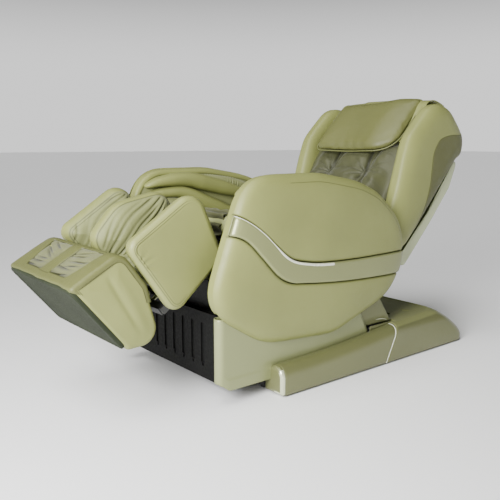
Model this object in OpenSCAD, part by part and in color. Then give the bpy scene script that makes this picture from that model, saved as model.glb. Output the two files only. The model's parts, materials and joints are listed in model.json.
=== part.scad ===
/* Massage chair: a reclining chair whose whole body slides forward on a low floor base.
   X runs across the chair, +X is the sitter's left. The footrest points along -Y and +Z is up.
   The origin is the middle of the base, on the floor. All sizes are in millimetres. */

/* [Base] */
// Width over the two rail covers
base_w = 800; // [790:5:830]
// Length of the straight floor rails
rail_len = 1010; // [1000:2:1014]
// Height of the rear base cover
base_h = 148; // [146:1:150]

/* [Chair body] */
// Half width of the space between the two inner arm walls
seat_half = 240; // [232:1:240]
// Thickness of the seat cushion
seat_t = 90; // [70:5:95]
// Slope of the seat, front edge high
seat_tilt = 23; // [21:0.5:24]
// Recline of the back, measured up from the floor
back_angle = 47; // [45:0.5:49]
// Slope of the leg rest below level
leg_angle = 35; // [33:0.5:37]

/* [Leg rest] */
// Half width of the leg rest
leg_half = 265; // [255:1:268]
// Half width of the foot unit
foot_half = 250; // [245:1:255]
// Width of one calf channel
calf_gap = 133; // [120:1:136]

/* [Hidden] */
$fn = 48;
fit = 0.05;          // radial clearance of a running fit
gap = 0.3;           // free gap between curved faces of two bodies
tube = 40;           // square steel tube
track_x = 270;       // middle of a floor rail
track_z = 52;        // top of a floor rail
roller_r = 20;
axle_r = 8;
axle_z = track_z + roller_r + gap;
axle_ys = [-360, 200];
split_low = 30;      // where the rail cover ends, at the floor
split_slope = 0.5;   // how far that end leans back for each millimetre of height

arm_in = 345;        // inner face of the outer arm shell
arm_out = 392;       // outer face of the outer arm shell
trim_t = 4;
core_in = 277;       // inner face of the arm's core
skirt_in = 333;
skirt_out = 338;
cover_in = 345;      // inner face of a rail cover
flange_in = 312;     // inner edge of its low flange, which runs under the skirt
flange_h = 46;
edge_r = 41;         // rounding along the top outer edge of the base

leg_pivot = [-690, 510];    // y, z of the leg rest's hinge
back_pivot = [20, 380];     // y, z of the back's hinge
leg_pin_r = 10;
back_pin_r = 12;
lug_in = 199;
lug_out = 212;
post_in = 214;
post_out = 244;

wing_in = 246;
wing_out = 330;
pad_v = 85;          // rear face of the back pad, from the hinge towards the sitter
pad_t = 26;
pillow_v = pad_v + pad_t + 11;
head_u = 705;        // underside of the head cover, measured up the back

carriage_u = 330;    // massage carriage, measured up the back
guide_r = 8;
guide_x = 150;
wheel_r = 28;        // massage roller
knead_v = -15;

calf_act_rear = [-250, 300];
calf_crank_r = 60;
calf_crank_deg = 245;
back_act_front = [-420, 170];
back_crank_r = 110;
back_crank_deg = 290;
pin_r = 6;
eye_pin = 5;         // crank pin inside the wide eye of a rod
eye_bore = 14;

// Circles [y, z, r] whose hull is a side outline
arm_outline = [[-540, 622, 138], [-330, 545, 215], [-48, 448, 216], [-240, 330, 165],
               [-480, 400, 218], [-655, 385, 112]];
core_outline = [[-540, 476, 70], [-640, 390, 60], [-600, 380, 60], [-190, 476, 70], [-190, 390, 70]];
// The same in the back's frame [u, v, r], u up the back and v towards the sitter
wing_outline = [[630, 33, 134], [510, 55, 118], [655, -30, 103], [500, -55, 80], [215, -48, 88]];
// The same in the leg rest's frame [y, z, r], with the foot towards -y
calf_outline = [[-220, 180, 46], [-238, -8, 28], [-60, 176, 50], [15, 135, 35], [15, 60, 30], [-60, -10, 26]];
foot_outline = [[-435, 235, 18], [-385, 222, 50], [-322, 212, 45], [-305, 50, 33],
                [-360, -22, 58], [-412, -28, 18]];
calf_skin = 247;      // the outer skin of a side wall starts here and has no cut
side_cut = [58, 26];      // lower rear corner left free for the hinge
crank_cut = [118, 34];    // the same in the middle wall, for the crank
foot_reach = 272;    // hinge to the foot unit's near face
sole_top = [-455.5, 256];
sole_low = [-432.5, -38];
sole_t = 7;
foot_wall = 165;     // inner face of a foot unit's side wall
foot_mid = 40;       // half width of its middle wall
foot_axle = [-404, 90];
slide_tube_x = 110;
slide_tube_z = -52;
slide_tube_r = 9;

function arc_pt(c, r, a) = [c[0] + r * cos(a), c[1] + r * sin(a)];
calf_crank = arc_pt(leg_pivot, calf_crank_r, calf_crank_deg);
back_crank = arc_pt(back_pivot, back_crank_r, back_crank_deg);

module both_sides() {
    children();
    mirror([1, 0, 0]) children();
}
module on_side(side) {
    if (side > 0) children();
    else mirror([1, 0, 0]) children();
}
// A flat shape drawn in y and z, from x = x0 to x = x1
module side_extrude(x0, x1) {
    translate([x0, 0, 0]) rotate([90, 0, 90]) linear_extrude(x1 - x0) children();
}
module hull_outline(circles, shrink = 0, $fn = 48) {
    hull() for (c = circles) translate([c[0], c[1]]) circle(r = c[2] - shrink);
}
module x_rod(r, x0, x1, y, z) {
    translate([x0, y, z]) rotate([0, 90, 0]) cylinder(r = r, h = x1 - x0);
}
module box(x0, x1, y0, y1, z0, z1) {
    translate([x0, y0, z0]) cube([x1 - x0, y1 - y0, z1 - z0]);
}
module back_pose() { translate([0, back_pivot[0], back_pivot[1]]) rotate([back_angle, 0, 0]) children(); }
module leg_pose() { translate([0, leg_pivot[0], leg_pivot[1]]) rotate([leg_angle, 0, 0]) children(); }
module seat_pose() { translate([0, -600, 636]) rotate([-seat_tilt, 0, 0]) children(); }

// ---------- floor base ----------
transport_y = 492;
transport_z = 36;
transport_r = 30;
module base_frame() color("dimgray") {
    both_sides() box(track_x - tube / 2, track_x + tube / 2,
                     -rail_len / 2, rail_len / 2, track_z - tube, track_z);
    for (y = [-440, 0, 430]) box(-track_x, track_x, y - 22, y + 22, 14, 44);
    both_sides() box(182, 190, 430, transport_y + 14, 20, 50);
    both_sides() x_rod(5, 182, track_x, transport_y, transport_z);
    both_sides() box(track_x, flange_in, 0, 24, 14, 40);
    both_sides() box(track_x, flange_in, -400, -370, 14, 40);
}
module floor_pads() color("black") {
    for (x = [-track_x, track_x], y = [-480, 480]) translate([x, y, 0]) cylinder(r = 19, h = 12);
    cylinder(r = 30, h = 14);
}
// Rail cover section at height h, in x and z, shrunk by t
module rail_section(h, t) {
    intersection() {
        hull() {
            translate([cover_in - 40, 6]) square([base_w / 2 - cover_in + 40 - t, 40]);
            translate([cover_in - 40, 6]) square([4, h - 6 - t]);
            translate([base_w / 2 - edge_r, h - edge_r]) circle(r = edge_r - t, $fn = 40);
        }
        translate([cover_in + t, 0]) square([100, 200]);
    }
}
module rail_slice(y, h, t) {
    translate([0, y + 1, 0]) rotate([90, 0, 0]) linear_extrude(1) rail_section(h, t);
}
cover_front = -500;
cover_bend = -200;
cover_rear = 120;
front_h = 107;
module rail_solid(t, over) {
    hull() {
        rail_slice(cover_front + (t > 0 ? over : 0), front_h, t);
        rail_slice(cover_bend, front_h + 5, t);
    }
    hull() {
        rail_slice(cover_bend, front_h + 5, t);
        rail_slice(cover_rear, base_h - 2, t);
    }
}
// Region in front of the leaning joint line, moved back by d
module before_split(d) {
    side_extrude(-base_w, base_w) polygon([[-700, -20], [split_low - 20 * split_slope + d, -20],
        [split_low + 200 * split_slope + d, 200], [-700, 200]]);
}
module rail_cover(side) color("darkkhaki") on_side(side) intersection() {
    union() {
        difference() {
            rail_solid(0, 0);
            translate([0, 0, -1]) rail_solid(4, -2);
        }
        rail_flange();
    }
    before_split(0);
}
module rail_flange() {
    box(flange_in, flange_in + 4, cover_front, cover_rear, 6, flange_h);
    box(flange_in, cover_in + 1, cover_front, cover_rear, flange_h - 4, flange_h);
}
module rail_caps() color("lightgoldenrodyellow") both_sides()
    translate([0, cover_front - 0.2, 0]) rotate([90, 0, 0]) linear_extrude(14) {
        rail_section(front_h, 0);
        translate([flange_in, 6]) square([cover_in - flange_in + 1, flange_h - 6]);
    }
module rail_strips() color("ivory") both_sides() intersection() {
    difference() {
        translate([0, 0, 0.5]) rail_solid(0, 0);
        rail_solid(4, 0);
    }
    difference() {
        before_split(5);
        before_split(0.2);
    }
}
rear_y = 580;
// Half width of the rear cover and how far its rear slopes in, at height z
function edge_inset(rise) = edge_r - sqrt(edge_r * edge_r - rise * rise);
function cover_half(z) = base_w / 2 - (z > base_h - edge_r ? edge_inset(z - base_h + edge_r) : 0);
function rear_inset(z) = z > 25 ? 140 * pow((z - 25) / 123, 1.5) : 0;
module rear_outline(z, t) {
    corner_x = cover_half(z) - 50 - rear_inset(z) / 4;
    hull() {
        for (x = [-corner_x, corner_x]) translate([x, rear_y - 50 - rear_inset(z)]) circle(r = 50 - t);
        translate([-cover_half(z) + t, 20]) square([2 * cover_half(z) - 2 * t, 2]);
    }
}
// Rear cover's outer form, shrunk by t
module rear_solid(t) {
    hull() for (z = [6, 30, 60, 90, 112, 128, 140, base_h - 1])
        translate([0, 0, z - t]) linear_extrude(1) rear_outline(z, t);
}
module base_rear_cover() color("darkkhaki") difference() {
    rear_solid(0);
    rear_solid(5);
    before_split(5.2);
    box(-353, 353, 0, 140, -1, base_h - 30);
    box(-262, 262, 0, 226, 40, base_h + 1);
    both_sides() box(322, 344, 0, 150, 60, base_h + 1);
    box(-180, -82, 500, rear_y + 1, 36, 84);
}
module transport_wheels() color("gray") both_sides() difference() {
    x_rod(transport_r, 200, 224, transport_y, transport_z);
    x_rod(5 + fit, 199, 225, transport_y, transport_z);
}
module power_inlet() color("black") difference() {
    union() {
        box(-176, -86, 532, 546, 40, 80);
        box(-168, -94, 500, 532, 44, 76);
    }
    box(-164, -134, 526, 548, 48, 72);
    box(-122, -98, 512, 548, 47, 73);
}
switch_y = 538;
module power_switch() color("darkred") {
    box(-121, -99, switch_y - 6, switch_y + 7, 50, 70);
}

// ---------- sliding carriage ----------
module bearing_plate(y) side_extrude(post_in, post_out) difference() {
    union() {
        translate([y, axle_z]) circle(r = 17);
        translate([y - 17, axle_z]) square([34, 40]);
    }
    translate([y, axle_z]) circle(r = axle_r + fit);
}
// Upright post with an eye for a hinge pin
module post(points, pivot, bore_r) side_extrude(post_in, post_out) difference() {
    union() {
        polygon(points);
        translate(pivot) circle(r = 24);
    }
    translate(pivot) circle(r = bore_r + fit);
}
module lug_pair(p, half_gap, t, r) both_sides() x_rod(r, half_gap, half_gap + t, p[0], p[1]);
module carriage_frame() color("dimgray") {
    difference() {
        union() {
            both_sides() box(post_in, post_out, -640, 232, 100, 138);
            both_sides() for (y = axle_ys) bearing_plate(y);
            for (y = [-622, -180, 212]) box(-post_in, post_in, y - 18, y + 18, 104, 136);
            both_sides() post([[-635, 110], [-595, 110], [-595, 480],
                               [-676, 530], [-704, 490], [-635, 440]], leg_pivot, leg_pin_r);
            both_sides() post([[-5, 110], [45, 110], [44, 380], [-4, 380]], back_pivot, back_pin_r);
            box(-post_in, post_in, -632, -606, 470, 500);
            box(-post_in, post_in, -80, -54, 290, 316);
            both_sides() box(post_in, post_out, -80, 20, 290, 316);
            both_sides() box(30, 42, back_act_front[0] - 18, back_act_front[0] + 18, 104, 190);
            box(-42, 42, back_act_front[0] - 18, back_act_front[0] + 18, 104, 120);
            for (y = [-436, -416]) box(-post_in, post_in, y, y + 12, 104, 120);
            both_sides() box(30, 42, calf_act_rear[0] - 18, calf_act_rear[0] + 18, 104, 322);
            box(-post_in, post_in, calf_act_rear[0] - 18, calf_act_rear[0] + 18, 104, 120);
            lug_pair(back_act_front, 24, 18, 12);
            lug_pair(calf_act_rear, 24, 18, 12);
        }
        x_rod(pin_r + fit, -60, 60, back_act_front[0], back_act_front[1]);
        x_rod(pin_r + fit, -60, 60, calf_act_rear[0], calf_act_rear[1]);
    }
}
module roller_axle(y) color("silver") {
    x_rod(axle_r, -track_x - 15, track_x + 15, y, axle_z);
    both_sides() x_rod(roller_r, track_x - 15, track_x + 15, y, axle_z);
}
module skirt_plan() {
    nose = [316, -713];
    intersection() {
        difference() {
            translate(nose) circle(r = skirt_out - nose[0]);
            translate(nose) circle(r = skirt_out - nose[0] - 5);
        }
        translate([200, -800]) square([200, 87]);
    }
    translate([skirt_out - 5, -713.5]) square([5, 690]);
    translate([nose[0] - skirt_out + nose[0], -713.5]) square([5, 30]);
}
module skirt(side) color("khaki") on_side(side) intersection() {
    translate([0, 0, 54]) linear_extrude(246) skirt_plan();
    side_extrude(200, 400)
        polygon([[-760, 80], [-700, 54], [-130, 54], [-130, 152],
                 [-62, 152], [-62, 250], [-110, 299], [-760, 299]]);
}
module rear_skirts() color("khaki") both_sides() side_extrude(skirt_in - 5, skirt_in)
    polygon([[-120, 150], [136, 150], [60, 268], [-120, 268]]);
panel_half = 292;
slot_x = [-180, -120, -60, 0, 60, 120, 180];
module front_panel() color([0.1, 0.1, 0.08]) difference() {
    union() {
        box(-panel_half, panel_half, -690, -682, 54, 290);
        box(-panel_half, panel_half, -682, -650, 54, 62);
    }
    for (x = slot_x) box(x - 10, x + 10, -691, -686, 110, 250);
    for (x = slot_x) box(x - 4, x + 4, -691, -681, 96, 108);
}
module front_upper_panel() color([0.08, 0.08, 0.07]) {
    box(-core_in + 1, -2, -655, -647, 290, 392);
    box(2, core_in - 1, -655, -647, 290, 392);
    box(-panel_half, panel_half, -682, -647, 282, 290);
}
module air_pump() color("gray") {
    box(80, 190, -380, -260, 142, 230);
    for (x = [110, 160]) translate([x, -320, 230]) cylinder(r = 8, h = 24);
}
module control_box() color("gray") box(-200, -90, -380, -250, 142, 200);

// The arm's domed outer form, enlarged by e
module arm_dome(e) {
    hull() {
        side_extrude(arm_in, arm_in + 8) hull_outline(arm_outline, -e, $fn = 32);
        side_extrude(arm_in, arm_out - 18 + e) hull_outline(arm_outline, 14 - e, $fn = 32);
        side_extrude(arm_in, arm_out + e) hull_outline(arm_outline, 46 - e, $fn = 32);
    }
}
module arm_shell(side) color("darkkhaki") on_side(side) arm_dome(0);
// Upper and lower edges of the curved trim band, front to rear
function band_mid(y) = 404 + 205 / (1 + exp((y + 577) / 42)) - 6 * (y + 577) / 680;
function band_half(y) = 34 + 10 * exp(-pow((y + 470) / 90, 2));
band_ys = [for (y = [-706 : 26 : 100]) y];
module band_shape() {
    intersection() {
        polygon(concat([for (y = band_ys) [y, band_mid(y) + band_half(y)]],
                       [for (i = [len(band_ys) - 1 : -1 : 0])
                            [band_ys[i], band_mid(band_ys[i]) - band_half(band_ys[i])]]));
        hull_outline(arm_outline);
    }
}
module arm_trim(side) color("beige") on_side(side) intersection() {
    difference() {
        arm_dome(trim_t);
        arm_dome(0.2);
    }
    side_extrude(arm_in + 2, arm_out + 10) band_shape();
}
module arm_core(side) color("khaki") on_side(side) {
    side_extrude(core_in, arm_in - 0.5) hull_outline(core_outline);
}
module arm_inner_pad(side) color("khaki") on_side(side) difference() {
    side_extrude(seat_half, arm_in - 1) hull() {
        translate([-560, 630]) circle(r = 40);
        translate([-560, 590]) circle(r = 40);
        translate([-120, 590]) circle(r = 40);
        translate([-120, 575]) circle(r = 24);
    }
    side_extrude(seat_half + 24, arm_in)
        polygon([[-565, 590], [-80, 572], [-60, 600], [-60, 700], [-565, 700]]);
}
module seat_pan() color("dimgray") seat_pose() box(-225, 225, 20, 560, -seat_t - 14, -seat_t - 0.2);
module seat_cushion() color("darkkhaki") seat_pose() difference() {
    box(-seat_half + 4, seat_half - 4, 0, 545, -seat_t, 0);
    translate([-300, 0, 0]) rotate([-30, 0, 0]) translate([0, -60, -200]) cube([600, 40, 400]);
}

// ---------- back ----------
module back_frame() color("dimgray") back_pose() {
    both_sides() box(lug_in, lug_out, 0, 700, -92, -62);
    both_sides() box(lug_in, lug_out, -26, 26, -92, 0);
    both_sides() x_rod(26, lug_in, lug_out, 0, 0);
    both_sides() x_rod(back_pin_r, lug_in, post_out, 0, 0);
    for (u = [40, 660]) box(-lug_in, lug_in, u, u + 24, -92, -62);
    both_sides() box(guide_x - 12, guide_x + 12, 44, 60, -62, -10);
    both_sides() box(guide_x - 12, guide_x + 12, 664, 680, -62, -10);
    both_sides() translate([guide_x, 44, -24]) rotate([-90, 0, 0]) cylinder(r = guide_r, h = 636);
    back_crank_arm();
}
module back_crank_arm() {
    a = back_crank_deg - back_angle;
    tip = [back_crank_r * cos(a), back_crank_r * sin(a)];
    both_sides() side_extrude(22, 30) hull() {
        translate(tip) circle(r = 14);
        translate([44, -86]) circle(r = 6);
        translate([60, -86]) circle(r = 6);
    }
    x_rod(eye_pin, -30, 30, tip[0], tip[1]);
}
module back_wing(side) color("darkkhaki") on_side(side) back_pose() hull() {
    side_extrude(wing_in, wing_out - 16) hull_outline(wing_outline, 0, $fn = 32);
    side_extrude(wing_in, wing_out) hull_outline(wing_outline, 16, $fn = 32);
}
module shell_outline(t) {
    hull() {
        translate([150 + t, -190 + t]) circle(r = 12 - t / 2);
        translate([380, -205 + t]) circle(r = 20);
        translate([600, -188 + t]) circle(r = 20);
        translate([695 - t, -152]) circle(r = 10 - t / 2);
        translate([118 + t, -152]) circle(r = 10 - t / 2);
    }
}
shell_half = 296;
module back_rear_shell() color("beige") back_pose() difference() {
    hull() {
        side_extrude(-shell_half + 40, shell_half - 40) shell_outline(0);
        side_extrude(-shell_half, shell_half) shell_outline(14);
    }
    hull() {
        side_extrude(-shell_half + 45, shell_half - 45) shell_outline(5);
        side_extrude(-shell_half + 5, shell_half - 5) shell_outline(18);
    }
    box(-shell_half - 1, shell_half + 1, 60, 720, -144, -90);
    box(-shell_half + 12, shell_half - 12, 130, 680, -156, -90);
}
module head_cover() color("darkkhaki") back_pose() side_extrude(-wing_in + 2, wing_in - 2) hull() {
    translate([head_u + 30, 90]) circle(r = 30);
    translate([head_u + 50, 60]) circle(r = 30);
    translate([head_u + 40, -60]) circle(r = 40);
    translate([head_u + 14, -76]) circle(r = 14);
    translate([head_u + 4, 116]) circle(r = 4);
}
module back_pad() color("darkkhaki") back_pose() {
    box(-wing_in + 3, wing_in - 3, -30, head_u - 4, pad_v, pad_v + pad_t);
}
module pillow() color("khaki") back_pose() side_extrude(-212, 212) hull() {
    translate([495, pillow_v + 14]) circle(r = 14);
    translate([520, pillow_v + 20]) circle(r = 20);
    translate([740, pillow_v + 18]) circle(r = 18);
    translate([782, pillow_v + 10]) circle(r = 10);
}
module massage_carriage() color("gray") back_pose() difference() {
    union() {
        both_sides() box(guide_x - 20, guide_x + 20, carriage_u - 60, carriage_u + 60, -42, -6);
        box(-guide_x + 10, guide_x - 10, carriage_u - 50, carriage_u - 20, -56, -30);
        box(-guide_x + 10, guide_x - 10, carriage_u + 20, carriage_u + 50, -56, -30);
        both_sides() box(84, 96, carriage_u - 22, carriage_u + 22, -56, 2);
        box(-40, 40, carriage_u - 20, carriage_u + 20, -58, -48);
    }
    both_sides() translate([guide_x, carriage_u - 61, -24])
        rotate([-90, 0, 0]) cylinder(r = guide_r + fit, h = 122);
    x_rod(7 + fit, -98, 98, carriage_u, knead_v);
}
roller_us = [-52, 52];
roller_v = 44;
module kneading_arms() color("silver") back_pose() difference() {
    union() {
        x_rod(7, -96, 96, carriage_u, knead_v);
        both_sides() side_extrude(56, 66) {
            hull() {
                translate([carriage_u, knead_v]) circle(r = 13);
                translate([carriage_u + roller_us[0], roller_v]) circle(r = 11);
            }
            hull() {
                translate([carriage_u, knead_v]) circle(r = 13);
                translate([carriage_u + roller_us[1], roller_v]) circle(r = 11);
            }
        }
    }
    for (u = roller_us) x_rod(pin_r + fit, -70, 70, carriage_u + u, roller_v);
}
module roller_pair(u) color("peru") back_pose() {
    both_sides() x_rod(wheel_r, 68, 84, carriage_u + u, roller_v);
    x_rod(pin_r, -68, 68, carriage_u + u, roller_v);
}
module act_pose(from, to) {
    translate([0, from[0], from[1]]) rotate([atan2(to[1] - from[1], to[0] - from[0]), 0, 0]) children();
}
function span(a, b) = norm([b[0] - a[0], b[1] - a[1]]);
// Linear actuator: its pivot at the origin and its rod leaving along +y, for a pin-to-pin length
module actuator_tube(len) color("gray") difference() {
    union() {
        x_rod(15, -22, 22, 0, 0);
        translate([-13, 8, -13]) cube([26, 44, 26]);
        translate([0, 50, 0]) rotate([-90, 0, 0]) cylinder(r = 22, h = len * 0.62 - 50);
        translate([-20, 52, -66]) cube([40, 76, 50]);
        x_rod(pin_r, -42, 42, 0, 0);
    }
    translate([0, 60, 0]) rotate([-90, 0, 0]) cylinder(r = 11 + fit, h = len);
}
module actuator_rod(len) color("silver") difference() {
    union() {
        translate([0, 150, 0]) rotate([-90, 0, 0]) cylinder(r = 11, h = len - 150 - eye_bore - 2);
        x_rod(eye_bore + 7, -16, 16, len, 0);
    }
    x_rod(eye_bore, -17, 17, len, 0);
}
module back_actuator() act_pose(back_act_front, back_crank) actuator_tube(span(back_act_front, back_crank));
module back_actuator_rod() act_pose(back_act_front, back_crank) {
    actuator_rod(span(back_act_front, back_crank));
}
module leg_actuator() act_pose(calf_act_rear, calf_crank) actuator_tube(span(calf_act_rear, calf_crank));
module leg_actuator_rod() act_pose(calf_act_rear, calf_crank) actuator_rod(span(calf_act_rear, calf_crank));

// ---------- leg rest and foot unit ----------
module leg_frame() color("dimgray") leg_pose() {
    both_sides() difference() {
        union() {
            side_extrude(lug_in, lug_out) hull() {
                circle(r = 20);
                translate([-40, -48]) circle(r = 12);
            }
            box(lug_in, lug_out, -250, -30, -62, -38);
        }
    }
    both_sides() x_rod(leg_pin_r, lug_in, post_out, 0, 0);
    difference() {
        for (y = [-150, -240]) box(-lug_in, lug_in, y - 14, y + 14, -66, -38);
        both_sides() translate([slide_tube_x, -120, slide_tube_z]) rotate([90, 0, 0])
            cylinder(r = slide_tube_r + fit, h = 150);
    }
    leg_crank_arm();
}
module leg_crank_arm() {
    a = calf_crank_deg - leg_angle;
    tip = [calf_crank_r * cos(a), calf_crank_r * sin(a)];
    both_sides() side_extrude(22, 30) hull() {
        translate(tip) circle(r = 13);
        translate([-144, -54]) circle(r = 8);
    }
    x_rod(eye_pin, -30, 30, tip[0], tip[1]);
}
// Padded wall; its lower rear corner is cut away for the hinge
module calf_wall(x0, x1, cut) side_extrude(x0, x1) difference() {
    hull_outline(calf_outline);
    translate([-cut[0], -80]) square([cut[0] + 84, 80 + cut[1]]);
}
module side_calf_wall(side) color("darkkhaki") leg_pose() on_side(side) {
    calf_wall(leg_half - 87, calf_skin, side_cut);
    side_extrude(calf_skin, leg_half) hull_outline(calf_outline);
}
module middle_calf_wall() color("darkkhaki") leg_pose()
    calf_wall(-leg_half + 87 + calf_gap, leg_half - 87 - calf_gap, crank_cut);
module calf_back_pad() color("khaki") leg_pose() {
    both_sides() box(leg_half - 87 - calf_gap + 0.5, leg_half - 87.5, -268, -40, -34, 24);
}
module foot_slide() color("silver") leg_pose() {
    both_sides() translate([slide_tube_x, -60, slide_tube_z]) rotate([90, 0, 0])
        cylinder(r = slide_tube_r, h = foot_reach - 50);
    box(-140, 140, -foot_reach - 14, -foot_reach, slide_tube_z - 10, slide_tube_z + 10);
}
module foot_wall_shape(x0, x1) side_extrude(x0, x1) difference() {
    hull_outline(foot_outline);
    translate([sole_low[0] - 60, -120]) square([60, 60]);
    translate([-foot_reach - 14, slide_tube_z - 40]) square([60, 52]);
    translate(foot_axle) circle(r = 6 + fit);
}
module foot_side_wall(side) color("darkkhaki") leg_pose() on_side(side) foot_wall_shape(foot_wall, foot_half);
module foot_mid_wall() color("darkkhaki") leg_pose() foot_wall_shape(-foot_mid, foot_mid);
sole_len = norm(sole_top - sole_low);
sole_half = foot_half - 6;
module foot_sole() color("gray") leg_pose() translate([0, sole_low[0], sole_low[1]])
    rotate([atan2(sole_top[1] - sole_low[1], sole_top[0] - sole_low[0]) - 90, 0, 0])
    rotate([90, 0, 0]) linear_extrude(sole_t) hull() {
        for (x = [-sole_half + 20, sole_half - 20]) translate([x, 20]) circle(r = 20);
        for (x = [-sole_half + 45, sole_half - 45]) translate([x, sole_len - 45]) circle(r = 45);
    }
module foot_toe_band() color("khaki") leg_pose() both_sides()
    box(foot_mid + 0.5, foot_wall - 0.5, -436, -322, 228, 262);
module foot_heel_tray() color("khaki") leg_pose() both_sides()
    box(foot_mid + 0.5, foot_wall - 0.5, -420, -322, -70, -34);
module foot_rollers() color("slategray") leg_pose() {
    x_rod(6, -190, 190, foot_axle[0], foot_axle[1]);
    both_sides() for (x = [62, 92, 122]) x_rod(15, x, x + 16, foot_axle[0], foot_axle[1]);
}

base_frame();
floor_pads();
rail_cover(1);  // rail_cover_left
rail_cover(-1);  // rail_cover_right
rail_caps();
rail_strips();
base_rear_cover();
transport_wheels();
power_inlet();
power_switch();
carriage_frame();
roller_axle(axle_ys[0]);  // front_roller_axle
roller_axle(axle_ys[1]);  // rear_roller_axle
skirt(1);  // skirt_left
skirt(-1);  // skirt_right
rear_skirts();
front_panel();
front_upper_panel();
air_pump();
control_box();
arm_shell(1);  // arm_shell_left
arm_shell(-1);  // arm_shell_right
arm_trim(1);  // arm_trim_left
arm_trim(-1);  // arm_trim_right
arm_core(1);  // arm_core_left
arm_core(-1);  // arm_core_right
arm_inner_pad(1);  // arm_inner_pad_left
arm_inner_pad(-1);  // arm_inner_pad_right
seat_pan();
seat_cushion();
back_frame();
back_wing(1);  // back_wing_left
back_wing(-1);  // back_wing_right
back_rear_shell();
head_cover();
back_pad();
pillow();
massage_carriage();
kneading_arms();
roller_pair(roller_us[1]);  // upper_rollers
roller_pair(roller_us[0]);  // lower_rollers
back_actuator();
back_actuator_rod();
leg_frame();
side_calf_wall(1);  // calf_wall_left
middle_calf_wall();  // calf_wall_middle
side_calf_wall(-1);  // calf_wall_right
calf_back_pad();
leg_actuator();
leg_actuator_rod();
foot_slide();
foot_side_wall(1);  // foot_wall_left
foot_mid_wall();  // foot_wall_middle
foot_side_wall(-1);  // foot_wall_right
foot_sole();
foot_toe_band();
foot_heel_tray();
foot_rollers();
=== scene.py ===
"""Looks of the massage chair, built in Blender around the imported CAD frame. All sizes are in metres."""

import json
import math

import bmesh
import bpy
import numpy as np
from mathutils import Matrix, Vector


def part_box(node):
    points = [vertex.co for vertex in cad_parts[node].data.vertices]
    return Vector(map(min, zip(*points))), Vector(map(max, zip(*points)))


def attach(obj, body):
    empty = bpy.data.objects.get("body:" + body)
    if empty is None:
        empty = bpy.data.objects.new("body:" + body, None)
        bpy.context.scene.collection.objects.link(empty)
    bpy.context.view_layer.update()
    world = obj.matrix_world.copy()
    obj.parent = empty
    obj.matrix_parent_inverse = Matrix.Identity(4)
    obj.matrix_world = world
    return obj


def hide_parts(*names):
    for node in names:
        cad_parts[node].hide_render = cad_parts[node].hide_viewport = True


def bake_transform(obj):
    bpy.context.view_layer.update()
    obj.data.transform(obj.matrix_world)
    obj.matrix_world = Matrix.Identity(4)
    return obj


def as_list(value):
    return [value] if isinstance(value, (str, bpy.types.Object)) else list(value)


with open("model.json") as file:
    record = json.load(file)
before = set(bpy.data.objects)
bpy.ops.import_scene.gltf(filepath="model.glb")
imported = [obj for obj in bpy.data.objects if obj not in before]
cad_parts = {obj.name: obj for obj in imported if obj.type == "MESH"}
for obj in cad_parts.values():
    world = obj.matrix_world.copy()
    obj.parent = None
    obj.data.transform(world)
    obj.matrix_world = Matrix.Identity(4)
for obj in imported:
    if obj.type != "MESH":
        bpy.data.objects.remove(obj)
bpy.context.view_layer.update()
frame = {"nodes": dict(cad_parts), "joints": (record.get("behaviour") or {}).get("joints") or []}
JOINTS = {j["name"]: j for j in frame["joints"]}


# ---------- side planes ----------
class Plane:
    """A side view: (x, a, b) is x across the chair, a along the plane's own direction and b square to it."""

    def __init__(self, origin, along):
        self.origin = np.array(origin, float)
        self.along = np.array(along, float)
        self.up = np.array([0.0, -self.along[2], self.along[1]])

    def world(self, x, a, b):
        x, a, b = np.broadcast_arrays(x, a, b)
        points = self.origin + a[..., None] * self.along + b[..., None] * self.up
        points[..., 0] = x
        return points


def turned(degrees):
    """The direction in the side view that points rearwards and that many degrees up."""
    angle = math.radians(degrees)
    return (0.0, math.cos(angle), math.sin(angle))


SEAT_TILT = -23
SEAT_LENGTH = 0.545
SEAT_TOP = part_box("seat_cushion")[1]
WORLD = Plane((0, 0, 0), (0, 1, 0))
BACK = Plane(JOINTS["back_recline"]["pos_m"], JOINTS["massage_travel"]["axis"])
LEG = Plane(JOINTS["leg_lift"]["pos_m"], [-c for c in JOINTS["foot_extend"]["axis"]])
SEAT = Plane((0, SEAT_TOP.y - SEAT_LENGTH * turned(SEAT_TILT)[1], SEAT_TOP.z), turned(SEAT_TILT))


# ---------- outlines ----------
def convex(points):
    """The closed convex outline round a set of flat points, anticlockwise."""
    rows = sorted(set(map(tuple, np.round(points, 5))))

    def half(sequence):
        chain = []
        for p in sequence:
            while len(chain) > 1 and (
                (chain[-1][0] - chain[-2][0]) * (p[1] - chain[-2][1])
                - (chain[-1][1] - chain[-2][1]) * (p[0] - chain[-2][0])
            ) <= 1e-12:
                chain.pop()
            chain.append(p)
        return chain[:-1]

    return np.array(half(rows) + half(rows[::-1]))


def rounded(circles, reach=0.012):
    """The outline round a few circles (a, b, radius), its corners eased over about the reach."""
    turn = np.linspace(0, 2 * np.pi, 240, endpoint=False)
    hull = convex(np.concatenate([
        np.stack([a + r * np.cos(turn), b + r * np.sin(turn)], 1) for a, b, r in circles
    ]))
    return softened(hull, reach) if reach else hull


def softened(outline, reach):
    """The outline with its curvature eased over about that distance."""
    path = even(outline, 720)
    step = np.linalg.norm(np.roll(path, -1, 0) - path, axis=1).mean()
    wave = np.fft.fft(path[:, 0] + 1j * path[:, 1])
    pitch = np.fft.fftfreq(len(path), step)
    eased = np.fft.ifft(wave * np.exp(-2 * (np.pi * reach * pitch) ** 2))
    return even(np.stack([eased.real, eased.imag], 1), 200)


def run_of(path):
    """How far along the path each of its points lies."""
    return np.concatenate([[0], np.cumsum(np.linalg.norm(np.diff(path, axis=0), axis=1))])


def nearest(path, point):
    """Which of the path's points lies nearest to a point."""
    return int(np.argmin(np.linalg.norm(path - np.asarray(point), axis=1)))


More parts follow.
